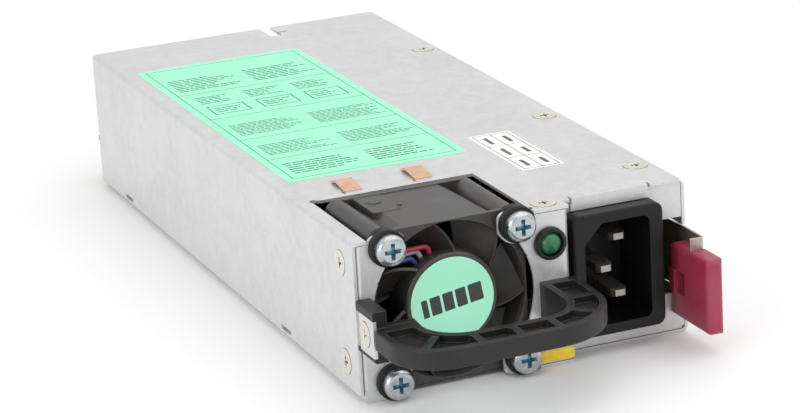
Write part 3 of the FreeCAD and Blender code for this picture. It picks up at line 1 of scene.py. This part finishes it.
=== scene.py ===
"""Looks of a hot swap server power supply: finishes, stickers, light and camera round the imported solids."""
import math
import random

import bmesh
import bpy
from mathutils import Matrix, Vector


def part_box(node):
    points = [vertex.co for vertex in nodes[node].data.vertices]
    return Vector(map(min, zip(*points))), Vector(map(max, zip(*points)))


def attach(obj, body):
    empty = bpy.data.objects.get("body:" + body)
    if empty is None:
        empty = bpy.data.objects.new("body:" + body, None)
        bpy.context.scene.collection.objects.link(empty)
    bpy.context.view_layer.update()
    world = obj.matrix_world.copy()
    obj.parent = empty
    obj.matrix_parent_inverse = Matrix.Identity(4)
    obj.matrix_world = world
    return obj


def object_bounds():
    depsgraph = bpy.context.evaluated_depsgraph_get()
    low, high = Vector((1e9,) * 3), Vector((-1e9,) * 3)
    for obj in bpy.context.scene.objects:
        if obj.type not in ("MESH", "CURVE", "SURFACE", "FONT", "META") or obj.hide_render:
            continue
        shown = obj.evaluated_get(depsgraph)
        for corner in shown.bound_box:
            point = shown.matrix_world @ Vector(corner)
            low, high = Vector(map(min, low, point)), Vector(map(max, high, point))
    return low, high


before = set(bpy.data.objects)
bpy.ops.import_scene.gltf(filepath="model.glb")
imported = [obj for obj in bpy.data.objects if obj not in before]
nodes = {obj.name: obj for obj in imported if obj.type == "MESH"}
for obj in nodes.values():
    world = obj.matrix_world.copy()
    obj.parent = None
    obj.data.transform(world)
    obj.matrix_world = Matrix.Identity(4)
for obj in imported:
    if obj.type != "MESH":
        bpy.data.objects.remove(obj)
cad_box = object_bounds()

MM = 0.001
RIGHT, REAR, UP = (1, 0, 0), (0, 1, 0), (0, 0, 1)
MIDDLE = (0.3, 0.7)             # the part of a noise's range that a ramp spreads out
STOCK = 0.10 * MM               # thickness of a sticker
PRINT = 0.012 * MM              # thickness of the print on it

cover_low, cover_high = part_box("top_cover")
tray_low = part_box("base_tray")[0]
panel_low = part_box("front_panel")[0]


# ---------------------------------------------------------------- shader graphs

class Graph:
    """A material's nodes, with short calls that add one node each and return its output."""

    def __init__(self, name):
        self.material = bpy.data.materials.new(name)
        self.material.use_nodes = True
        self.tree = self.material.node_tree
        self.shader = self.tree.nodes["Principled BSDF"]

    def add(self, kind, inputs=(), **settings):
        """A node of this kind, with values or links for its inputs."""
        node = self.tree.nodes.new(kind)
        for key, value in settings.items():
            setattr(node, key, value)
        for key, value in dict(inputs).items():
            self.put(node.inputs[key], value)
        return node

    def put(self, socket, value):
        """Links an output to the socket, or sets the socket's own value."""
        if isinstance(value, bpy.types.NodeSocket):
            self.tree.links.new(value, socket)
        elif isinstance(value, tuple) and len(value) == 3 and socket.type == "RGBA":
            socket.default_value = (*value, 1.0)
        else:
            socket.default_value = value

    def place(self, stretch=(1.0, 1.0, 1.0)):
        """The point on the object in metres, stretched along each axis."""
        here = self.add("ShaderNodeTexCoord").outputs["Object"]
        return self.add("ShaderNodeMapping", {"Vector": here, "Scale": stretch}).outputs["Vector"]

    def noise(self, size, detail=3.0, stretch=(1.0, 1.0, 1.0), rough=0.55):
        """Noise between 0 and 1 whose patches are about 'size' metres across."""
        inputs = {"Vector": self.place(stretch), "Scale": 1.0 / size, "Detail": detail, "Roughness": rough}
        return self.add("ShaderNodeTexNoise", inputs).outputs["Fac"]

    def cells(self, size):
        """A random grey for each crystal of about 'size' metres."""
        inputs = {"Vector": self.place(), "Scale": 1.0 / size}
        colour = self.add("ShaderNodeTexVoronoi", inputs, feature="F1").outputs["Color"]
        return self.add("ShaderNodeRGBToBW", {"Color": colour}).outputs["Val"]

    def ramp(self, value, low, high, to_low=0.0, to_high=1.0):
        inputs = {"Value": value, "From Min": low, "From Max": high, "To Min": to_low, "To Max": to_high}
        return self.add("ShaderNodeMapRange", inputs, clamp=True).outputs["Result"]

    def math(self, operation, a, b=0.0):
        return self.add("ShaderNodeMath", {0: a, 1: b}, operation=operation).outputs[0]

    def mix(self, share, a, b):
        """Colour a, turning to b as the share goes from 0 to 1."""
        node = self.add("ShaderNodeMix", data_type="RGBA", blend_type="MIX")
        for socket, value in ((node.inputs[0], share), (node.inputs[6], a), (node.inputs[7], b)):
            self.put(socket, value)
        return node.outputs[2]

    def rounded(self, radius):
        """The surface's direction as if its edges were rounded off."""
        return self.add("ShaderNodeBevel", {"Radius": radius}, samples=4).outputs["Normal"]

    def edges(self, radius):
        """1 on sharp edges, 0 on flat faces."""
        flat = self.add("ShaderNodeNewGeometry").outputs["Normal"]
        pair = {0: self.rounded(radius), 1: flat}
        cosine = self.add("ShaderNodeVectorMath", pair, operation="DOT_PRODUCT").outputs["Value"]
        return self.ramp(self.math("SUBTRACT", 1.0, cosine), 0.02, 0.30)

    def bump(self, height, strength, distance, rounding=0.0):
        inputs = {"Height": height, "Strength": strength, "Distance": distance}
        if rounding:
            inputs["Normal"] = self.rounded(rounding)
        self.put(self.shader.inputs["Normal"], self.add("ShaderNodeBump", inputs).outputs["Normal"])

    def set(self, **values):
        """Sets the shader's inputs, whose names are given with _ for each space."""
        for key, value in values.items():
            self.put(self.shader.inputs[key.replace("_", " ")], value)


# ---------------------------------------------------------------- kinds of finish

def moulded(name, colour, worn, roughness, wear=0.25 * MM, scuffs=0.5, gloss=0.5, dust=0.25, **more):
    """Moulded plastic or rubber: fine grain, patchy gloss, paler scuffed edges."""
    g = Graph(name)
    patches = g.noise(9 * MM, 4.0)
    dusty = g.mix(g.ramp(patches, 0.42, 0.75, 0.0, dust), colour, worn)
    chips = g.ramp(g.noise(1.1 * MM, 4.0), 0.35, 0.62, 0.15, scuffs)
    nicks = g.math("MULTIPLY", g.edges(wear), chips)
    g.set(Base_Color=g.mix(nicks, dusty, worn), Specular_IOR_Level=gloss,
          Roughness=g.ramp(patches, *MIDDLE, roughness - 0.06, roughness + 0.08), **more)
    g.bump(g.noise(0.35 * MM, 2.0), 0.25, 0.02 * MM, wear * 0.6)
    return g.material


def sintered(name, colour):
    """Matt pressed powder."""
    return moulded(name, colour, tuple(c * 2.2 for c in colour), 0.6, wear=0.4 * MM)


def wire_skin(name, colour):
    """Smooth insulation on a thin wire."""
    worn = tuple(min(1.0, c * 1.5 + 0.02) for c in colour)
    return moulded(name, colour, worn, 0.35, wear=0.1 * MM, Coat_Weight=0.15)


def metal(name, colour, tint, roughness=0.25, streak=(1.0, 1.0, 1.0), patch=2 * MM, metallic=0.85,
          line_and_highlight_colour=(0.9, 0.89, 0.86)):
    """Plated or bare metal: two tones in soft patches, fine drawn lines, and a painted highlight along every
    edge.
    """
    g = Graph(name)
    patches = g.noise(patch, 5.0, rough=0.62)
    lines = g.noise(0.5 * MM, 2.0, streak)
    edge = 0.2 * MM
    base = g.mix(g.ramp(patches, *MIDDLE), colour, tint)
    base = g.mix(g.ramp(lines, *MIDDLE, 0.0, 0.18), base, line_and_highlight_colour)
    # painted highlight: every edge is mixed up to 55% toward the pale colour
    base = g.mix(g.ramp(g.edges(edge), 0.0, 1.0, 0.0, 0.55), base, line_and_highlight_colour)
    g.set(Base_Color=base, Metallic=metallic,
          Roughness=g.ramp(patches, *MIDDLE, roughness - 0.05, roughness + 0.07))
    g.bump(lines, 0.2, 0.004 * MM, edge * 0.7)
    return g.material


def zinc_sheet():
    """Galvanised sheet: small soft spangle, rolling lines along the length, a few darker rubs."""
    g = Graph("zinc_sheet")
    spangle = g.cells(1.6 * MM)
    clouds = g.noise(22 * MM, 5.0, rough=0.6)
    mottle = g.noise(3.6 * MM, 6.0, rough=0.68)
    mottled = (0.34, 0.66)
    crystals = (0.2, 0.8)
    base = g.mix(g.ramp(clouds, *MIDDLE), (0.555, 0.555, 0.55), (0.635, 0.635, 0.63))
    base = g.mix(g.ramp(mottle, *mottled, 0.0, 0.42), base, (0.74, 0.75, 0.755))
    base = g.mix(g.ramp(spangle, *crystals, 0.0, 0.2), base, (0.80, 0.81, 0.82))
    marks = g.noise(3.2 * MM, 6.0, (1.0, 0.35, 1.0), 0.7)
    rubs = g.math("MULTIPLY", g.ramp(marks, 0.60, 0.78), 0.22)
    base = g.mix(rubs, base, (0.30, 0.29, 0.27))
    # painted highlight: every edge of the sheet is mixed up to 60% toward a pale grey
    base = g.mix(g.ramp(g.edges(0.22 * MM), 0.0, 1.0, 0.0, 0.6), base, (0.86, 0.85, 0.82))
    rough = g.math("ADD", g.ramp(mottle, *mottled, 0.36, 0.46), g.ramp(spangle, *crystals, -0.03, 0.03))
    g.set(Base_Color=base, Metallic=0.6, Roughness=rough)
    g.bump(g.noise(0.8 * MM, 3.0, (1.0, 0.03, 1.0)), 0.18, 0.006 * MM, 0.15 * MM)
    return g.material


def green_lamp():
    """Tinted resin: an even green, a little deeper in soft patches, under a glossy skin."""
    g = Graph("green_lamp")
    depths = g.noise(3 * MM, 2.0)
    g.set(Base_Color=g.mix(g.ramp(depths, *MIDDLE), (0.006, 0.10, 0.035), (0.02, 0.17, 0.06)), Roughness=0.34,
          Coat_Weight=0.5, Coat_Roughness=0.14, Specular_IOR_Level=0.5)
    g.bump(depths, 0.05, 0.01 * MM)
    return g.material


def film(name, deep, pale, patch, fibre):
    """Label stock: two close tones in soft patches, and faint fibre. Gives its graph, patches and colour."""
    g = Graph(name)
    clouds = g.noise(patch, 4.0)
    base = g.mix(g.ramp(clouds, *MIDDLE), deep, pale)
    g.set(Base_Color=base)
    g.bump(g.noise(fibre, 2.0), 0.1, 0.004 * MM)
    return g, clouds, base


def mint_film(name, deep, pale):
    """Mint label stock with faint handling marks."""
    g, clouds, base = film(name, deep, pale, 14 * MM, 0.6 * MM)
    marks = g.ramp(g.noise(5 * MM, 6.0, (1.0, 0.4, 1.0), 0.7), 0.62, 0.8, 0.0, 0.2)
    g.set(Base_Color=g.mix(marks, base, tuple(0.5 * (c + 0.8) for c in pale)),
          Roughness=g.ramp(clouds, *MIDDLE, 0.42, 0.52))
    return g.material


def white_film():
    g, clouds, _ = film("white_film", (0.80, 0.80, 0.77), (0.88, 0.88, 0.86), 6 * MM, 0.4 * MM)
    g.set(Roughness=g.ramp(clouds, *MIDDLE, 0.45, 0.6))
    return g.material


def yellow_film():
    g = film("yellow_film", (0.85, 0.56, 0.02), (0.95, 0.68, 0.05), 2 * MM, 0.5 * MM)[0]
    g.set(Roughness=0.45)
    return g.material


def ink(name, colour):
    """Printed ink, a little uneven."""
    g = Graph(name)
    uneven = g.ramp(g.noise(0.6 * MM, 3.0), 0.3, 0.75)
    g.set(Base_Color=g.mix(uneven, colour, tuple(c + 0.02 for c in colour)), Roughness=0.5)
    return g.material


# ---------------------------------------------------------------- the object's finishes

def finishes():
    """Each material with the CAD nodes that wear it."""
    along = (1.0, 0.05, 1.0)
    across = (0.1, 1.0, 1.0)
    return (
        # folded sheet, springs and screws
        (zinc_sheet(), ("base_tray", "top_cover", "left_bracket", "front_panel", "rear_panel")),
        (metal("strip_steel", (0.40, 0.36, 0.31), (0.50, 0.45, 0.39), 0.4, along, 7 * MM),
         ("latch_leaf", "latch_foot", "latch_rivets")),
        (metal("screw_zinc", (0.66, 0.62, 0.54), (0.78, 0.74, 0.66), 0.34),
         ("cover_screws", "side_screws", "handle_screws")),
        (metal("pan_zinc", (0.37, 0.39, 0.41), (0.54, 0.56, 0.59), 0.24, metallic=0.95), ("fan_screws",)),
        (metal("copper_strip", (0.70, 0.40, 0.25), (0.80, 0.52, 0.36), 0.3, across, 3 * MM,
               line_and_highlight_colour=(0.95, 0.74, 0.60)), ("copper_fingers",)),

        # the fan
        (moulded("black_rubber", (0.008, 0.008, 0.009), (0.04, 0.038, 0.036), 0.5, wear=0.3 * MM,
                 scuffs=0.35, gloss=0.3), ("fan_grommets",)),
        (moulded("fan_plastic", (0.034, 0.0315, 0.030), (0.15, 0.138, 0.13), 0.38, wear=0.35 * MM,
                 scuffs=0.55, gloss=0.55), ("fan_frame",)),
        (moulded("blade_plastic", (0.010, 0.0095, 0.0095), (0.06, 0.057, 0.057), 0.38, gloss=0.4),
         ("fan_impeller",)),
        (mint_film("disc_mint", (0.38, 0.88, 0.63), (0.41, 0.91, 0.67)), ("fan_hub_disc",)),
        (metal("ground_steel", (0.55, 0.55, 0.56), (0.65, 0.65, 0.66)), ("fan_shaft", "fan_bearings")),
        (sintered("bonded_magnet", (0.03, 0.03, 0.032)), ("fan_magnet",)),
        (metal("stator_iron", (0.30, 0.17, 0.10), (0.42, 0.25, 0.15), 0.4), ("fan_stator",)),
        (moulded("white_nylon", (0.72, 0.70, 0.62), (0.85, 0.83, 0.76), 0.4), ("fan_plug", "fan_header")),
        # The three wire colours are set darker than the insulation itself, as painted shade where the wires
        # lie in shadow.
        (wire_skin("wire_red", (0.42, 0.035, 0.045)), ("fan_wire_red",)),
        (wire_skin("wire_white", (0.44, 0.42, 0.39)), ("fan_wire_white",)),
        (wire_skin("wire_blue", (0.03, 0.07, 0.24)), ("fan_wire_blue",)),

        # light, inlet, handle and latch
        (wire_skin("lead_black", (0.02, 0.02, 0.02)), ("led_leads", "inlet_leads")),
        (moulded("bezel_plastic", (0.006, 0.006, 0.0065), (0.06, 0.058, 0.055), 0.42, wear=0.22 * MM,
                 gloss=0.35), ("led_bezel",)),
        (green_lamp(), ("led_lamp",)),
        (moulded("inlet_plastic", (0.0045, 0.0045, 0.005), (0.06, 0.057, 0.052), 0.36, wear=0.22 * MM,
                 scuffs=0.4, gloss=0.3, dust=0.08), ("inlet_housing",)),
        # The pins' colours are set darker than bright plated metal, as painted shade where the pins sit deep
        # in the inlet.
        (metal("pin_nickel", (0.26, 0.24, 0.20), (0.36, 0.335, 0.29), 0.3), ("inlet_pins",)),
        (moulded("handle_plastic", (0.0105, 0.0102, 0.0104), (0.20, 0.165, 0.140), 0.46, wear=0.4 * MM,
                 scuffs=0.7, gloss=0.4, dust=0.06), ("handle",)),
        (moulded("paddle_plastic", (0.30, 0.024, 0.062), (0.46, 0.11, 0.165), 0.34, wear=0.6 * MM,
                 scuffs=0.4, Subsurface_Weight=0.15, Subsurface_Radius=(0.0015, 0.0004, 0.0004),
                 Subsurface_Scale=1.0), ("latch_paddle",)),

        # circuit inside
        (moulded("solder_mask", (0.012, 0.085, 0.035), (0.03, 0.16, 0.07), 0.35, wear=0.15 * MM,
                 Coat_Weight=0.3, Coat_Roughness=0.15),
         ("main_circuit_board", "control_board", "output_edge_board", "fan_driver_board")),
        (metal("gold_plate", (0.80, 0.55, 0.18), (0.90, 0.68, 0.28), 0.22), ("edge_contacts",)),
        (metal("standoff_brass", (0.66, 0.48, 0.20), (0.78, 0.60, 0.30)),
         ("board_standoffs", "board_screws")),
        (moulded("insulation_film", (0.62, 0.62, 0.56), (0.75, 0.75, 0.7), 0.4), ("insulation_sheet",)),
        (metal("bare_copper", (0.62, 0.32, 0.18), (0.75, 0.42, 0.26)), ("output_busbars",)),
        (moulded("shrink_sleeve", (0.015, 0.018, 0.035), (0.05, 0.06, 0.10), 0.3),
         ("bulk_capacitors", "output_capacitors")),
        (moulded("cast_box", (0.55, 0.40, 0.05), (0.7, 0.55, 0.15), 0.4), ("filter_capacitors",)),
        (sintered("ferrite", (0.035, 0.035, 0.038)),
         ("line_choke_core", "pfc_choke_core", "transformer_core")),
        (metal("enamelled_copper", (0.45, 0.17, 0.06), (0.6, 0.26, 0.1), 0.3),
         ("line_choke_windings", "pfc_choke_windings", "transformer_winding")),
        (sintered("fuse_ceramic", (0.5, 0.48, 0.42)), ("line_fuse",)),
        (metal("sink_aluminium", (0.60, 0.61, 0.62), (0.70, 0.71, 0.72), 0.35),
         ("primary_heatsink", "secondary_heatsink")),
        (moulded("transistor_epoxy", (0.012, 0.012, 0.013), (0.05, 0.05, 0.05), 0.5), ("power_transistors",)),
    )


def dress_nodes():
    for material, names in finishes():
        for name in names:
            slots = nodes[name].data.materials
            slots.clear()
            slots.append(material)


# ---------------------------------------------------------------- driver recesses of the screws

def islands(mesh):
    """Groups of polygons that share vertices, nearby vertices counting as one."""
    keys = [tuple(round(c / (0.01 * MM)) for c in v.co) for v in mesh.vertices]
    parent = {}

    def root(key):
        while parent.setdefault(key, key) != key:
            parent[key] = parent[parent[key]]
            key = parent[key]
        return key

    for polygon in mesh.polygons:
        first = root(keys[polygon.vertices[0]])
        for vertex in polygon.vertices[1:]:
            parent[root(keys[vertex])] = first
    groups = {}
    for polygon in mesh.polygons:
        groups.setdefault(root(keys[polygon.vertices[0]]), []).append(polygon)
    return list(groups.values())


def paint_recess(node, material, axis, outward, reach):
    """Gives the driver recess of each screw in the node the given material.

    A recess face lies within 'reach' of the screw's centre line and below the top of its head. It either
    doesn't face the way the head does, or is the recess's floor."""
    deepest, floor_depth = 2.2 * MM, 0.6 * MM
    mesh = nodes[node].data
    mesh.materials.append(material)
    across = [i for i in range(3) if i != axis]
    for group in islands(mesh):
        corners = [mesh.vertices[v].co for p in group for v in p.vertices]
        centre = [(min(c[i] for c in corners) + max(c[i] for c in corners)) / 2 for i in range(3)]
        top = max(c[axis] * outward for c in corners)
        for polygon in group:
            radius = math.hypot(*(polygon.center[i] - centre[i] for i in across))
            sunk = top - polygon.center[axis] * outward
            steep = polygon.normal[axis] * outward < 0.3
            if radius < reach and 0.02 * MM < sunk < deepest and (steep or sunk > floor_depth):
                polygon.material_index = 1


def paint_recesses():
    """The plating has a blue cast in the pan screws' recesses, and the flat screws' recesses are painted dark
    as shade.
    """
    blue = metal("recess_blue", (0.07, 0.24, 0.34), (0.20, 0.46, 0.57), 0.3, patch=0.8 * MM, metallic=0.7,
                 line_and_highlight_colour=(0.45, 0.70, 0.80))
    # painted shade: the flat screws' recesses are coloured near black
    recess_shade = metal("recess_painted_shade", (0.10, 0.09, 0.08), (0.16, 0.14, 0.12), 0.45, patch=1 * MM, metallic=0.7)
    paint_recess("fan_screws", blue, 1, -1, 2.1 * MM)
    paint_recess("cover_screws", recess_shade, 2, 1, 1.5 * MM)
    paint_recess("side_screws", recess_shade, 0, -1, 1.5 * MM)


# ---------------------------------------------------------------- stickers

def sheet_outline(width, length, radius, steps=6, start=0.0):
    """Corners of a rounded rectangle that begins 'start' along the first axis."""
    points = []
    for u, v, turn in ((width - radius, length - radius, 0), (radius, length - radius, 90),
                       (radius, radius, 180), (width - radius, radius, 270)):
        for step in range(steps + 1):
            angle = math.radians(turn + 90 * step / steps)
            points.append((start + u + radius * math.cos(angle), v + radius * math.sin(angle)))
    return points


def solid_from(outlines, thickness, name, origin, right, up, material):
    """Flat pieces of one thickness on the plane at 'origin' with axes 'right' and 'up', as one mesh."""
    out = Vector(right).cross(Vector(up))
    mesh = bpy.data.meshes.new(name)
    bm = bmesh.new()
    for outline in outlines:
        low = [bm.verts.new(Vector(origin) + Vector(right) * u + Vector(up) * v) for u, v in outline]
        high = [bm.verts.new(vertex.co + out * thickness) for vertex in low]
        bm.faces.new(high)
        bm.faces.new(low[::-1])
        for i in range(len(low)):
            j = (i + 1) % len(low)
            bm.faces.new((low[i], low[j], high[j], high[i]))
    bm.to_mesh(mesh)
    bm.free()
    mesh.materials.append(material)
    piece = bpy.data.objects.new(name, mesh)
    bpy.context.scene.collection.objects.link(piece)
    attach(piece, "chassis")


def bar(u, v, width, height):
    return [(u, v), (u + width, v), (u + width, v + height), (u, v + height)]


def frame_bars(u, v, width, height, line):
    """Four bars round a rectangle."""
    between = height - 2 * line
    return [bar(u, v, width, line), bar(u, v + height - line, width, line),
            bar(u, v + line, line, between), bar(u + width - line, v + line, line, between)]


def text_bars(rng, u, v, width, rows, pitch, thick):
    """Rows of short bars that stand for lines of print."""
    bars = []
    for row in range(rows):
        end = u + width * rng.uniform(0.6, 1.0)
        at = u
        while at < end:
            word = min(rng.uniform(1.0, 3.4) * thick * 2.2, end - at)
            bars.append(bar(at, v + row * pitch, word, thick))
            at += word + thick * 0.8
    return bars


def mint_print(width, length):
    """Ruled fields and plain bars in place of the large label's print."""
    rng = random.Random(4)
    margin, rule = 2.0 * MM, 0.18 * MM
    paragraphs = ((6, 6, 1.7, 0.55), (24, 8, 1.25, 0.38), (44, 9, 1.25, 0.38), (92, 8, 1.6, 0.5))
    bars = frame_bars(margin, margin, width - 2 * margin, length - 2 * margin, rule)
    for start, rows, pitch, thick in paragraphs:
        for column in range(2):
            u = margin + 2 * MM + column * (width / 2 - margin)
            bars += text_bars(rng, u, start * MM, width / 2 - 5 * MM, rows, pitch * MM, thick * MM)
    for line in (20, 40, 62, 88):
        bars.append(bar(margin, line * MM, width - 2 * margin, rule))
    field, field_height, field_pitch = 10 * MM, 8 * MM, 13.5
    for column in range(3):
        u = margin + 3 * MM + column * field_pitch * MM
        bars += frame_bars(u, 66 * MM, field, field_height, 0.3 * MM)
        bars += text_bars(rng, u + 1.2 * MM, 68 * MM, 7.5 * MM, 3, 1.7 * MM, 0.5 * MM)
        bars += text_bars(rng, u, 77.5 * MM, field, 5, 1.5 * MM, 0.45 * MM)
    return bars


def mint_label():
    """The large label on the cover."""
    width, length = 46.8 * MM, 117.8 * MM
    origin = (cover_low.x + 4.4 * MM, cover_low.y + 51.5 * MM, cover_high.z)
    top = (origin[0], origin[1], origin[2] + STOCK)
    mint = mint_film("mint_film", (0.29, 0.83, 0.54), (0.32, 0.87, 0.58))
    solid_from([sheet_outline(width, length, 1.4 * MM)], STOCK, "mint_label", origin, RIGHT, REAR, mint)
    solid_from(mint_print(width, length), PRINT, "label_print", top, RIGHT, REAR,
               ink("label_ink", (0.015, 0.03, 0.025)))


def white_sticker():
    """The small sticker near the inlet: a ruled table of two columns, with a plain bar in each field."""
    rng = random.Random(7)
    width, length = 11.0 * MM, 32.8 * MM
    margin, rule = 0.8 * MM, 0.24 * MM
    rows, row_pitch, columns, column_pitch = 3, 10.4, 2, 5.0
    origin = (cover_low.x + 55.9 * MM, cover_low.y + 29.5 * MM, cover_high.z)
    top = (origin[0], origin[1], origin[2] + STOCK)
    solid_from([sheet_outline(width, length, 0.4 * MM)], STOCK, "white_sticker", origin, RIGHT, REAR,
               white_film())
    lines = frame_bars(margin, margin, width - 2 * margin, length - 2 * margin, rule)
    lines.append(bar(width / 2, margin, rule, length - 2 * margin))
    for row in range(1, rows):
        lines.append(bar(margin, (1.6 + row * row_pitch) * MM - margin, width - 2 * margin, rule))
    solid_from(lines, PRINT, "sticker_lines", top, RIGHT, REAR, ink("table_ink", (0.16, 0.13, 0.12)))
    words = []
    for row in range(rows):
        for column in range(columns):
            u = (2.5 + column * column_pitch) * MM
            words.append(bar(u, (3.0 + row * row_pitch) * MM, 1.1 * MM, rng.uniform(4.5, 6.8) * MM))
    solid_from(words, PRINT, "sticker_bars", top, RIGHT, REAR, ink("bar_ink", (0.10, 0.095, 0.09)))


def hub_bars():
    """A slanting row of plain blocks on the disc at the middle of the fan."""
    disc_low, disc_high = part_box("fan_hub_disc")
    centre = (disc_low + disc_high) / 2
    tilt = math.radians(9)
    height, row_length, gap = 4.4 * MM, 15.2 * MM, 0.62 * MM
    widths = (1.5, 2.6, 2.6, 2.6, 3.4)
    right = Vector((math.cos(tilt), 0, math.sin(tilt)))
    up = Vector((-math.sin(tilt), 0, math.cos(tilt)))
    origin = Vector((centre.x, disc_low.y, centre.z)) - up * height / 2 - right * row_length / 2
    blocks = []
    at = 0.0
    for width in widths:
        blocks.append(sheet_outline(width * MM, height, 0.25 * MM, 3, at))
        at += width * MM + gap
    solid_from(blocks, PRINT, "hub_bars", origin, right, up, ink("hub_ink", (0.03, 0.035, 0.033)))


def yellow_sticker():
    """The bare label low on the front, under the light."""
    width, height = 8.4 * MM, 2.7 * MM
    origin = (cover_low.x + 45.3 * MM, panel_low.y, tray_low.z + 1.3 * MM)
    solid_from([sheet_outline(width, height, 0.3 * MM)], STOCK, "yellow_sticker", origin, RIGHT, UP,
               yellow_film())


# ---------------------------------------------------------------- floor, light and camera

def floor():
    """A pale sheet of paper just under the model."""
    half = 6.0
    mesh = bpy.data.meshes.new("floor")
    corners = [(-half, -half, 0), (half, -half, 0), (half, half, 0), (-half, half, 0)]
    mesh.from_pydata(corners, [], [(0, 1, 2, 3)])
    piece = bpy.data.objects.new("floor", mesh)
    bpy.context.scene.collection.objects.link(piece)
    piece.location.z = cad_box[0].z - 0.02 * MM
    g = Graph("floor_paper")
    tone = g.ramp(g.noise(0.5, 2.0), *MIDDLE)
    g.set(Base_Color=g.mix(tone, (0.86, 0.86, 0.86), (0.88, 0.88, 0.88)), Roughness=0.7)
    mesh.materials.append(g.material)


def softbox(name, place, size, power):
    """A white panel of light that faces the origin."""
    lamp = bpy.data.lights.new(name, "AREA")
    lamp.shape = "RECTANGLE"
    lamp.size, lamp.size_y = size
    lamp.energy = power
    holder = bpy.data.objects.new(name, lamp)
    holder.location = place
    holder.rotation_euler = (-Vector(place)).to_track_quat("-Z", "Y").to_euler()
    bpy.context.scene.collection.objects.link(holder)


def studio():
    scene = bpy.context.scene
    scene.view_settings.view_transform = "Standard"
    world = bpy.data.worlds.new("studio")
    scene.world = world
    world.use_nodes = True
    sky = world.node_tree.nodes["Background"]
    sky.inputs["Color"].default_value = (1.0, 1.0, 1.0, 1.0)
    sky.inputs["Strength"].default_value = 0.88
    softbox("key", (0.35, -0.25, 1.1), (1.8, 1.8), 7.5)
    softbox("left_fill", (-1.1, -0.5, 0.45), (0.9, 0.6), 4.2)
    softbox("front_fill", (0.3, -1.3, 0.5), (0.9, 0.5), 0.5)


def camera():
    """The place, turn and lens that line the model up with the photograph."""
    eye = bpy.data.cameras.new("camera")
    eye.lens = 137.475
    eye.sensor_width = 36.0
    holder = bpy.data.objects.new("camera", eye)
    holder.location = (-0.27056, -0.70362, 0.25259)
    holder.rotation_euler = tuple(math.radians(a) for a in (72.317, 3.240, -22.634))
    bpy.context.scene.collection.objects.link(holder)
    bpy.context.scene.camera = holder


dress_nodes()
paint_recesses()
mint_label()
white_sticker()
yellow_sticker()
hub_bars()
floor()
studio()
camera()
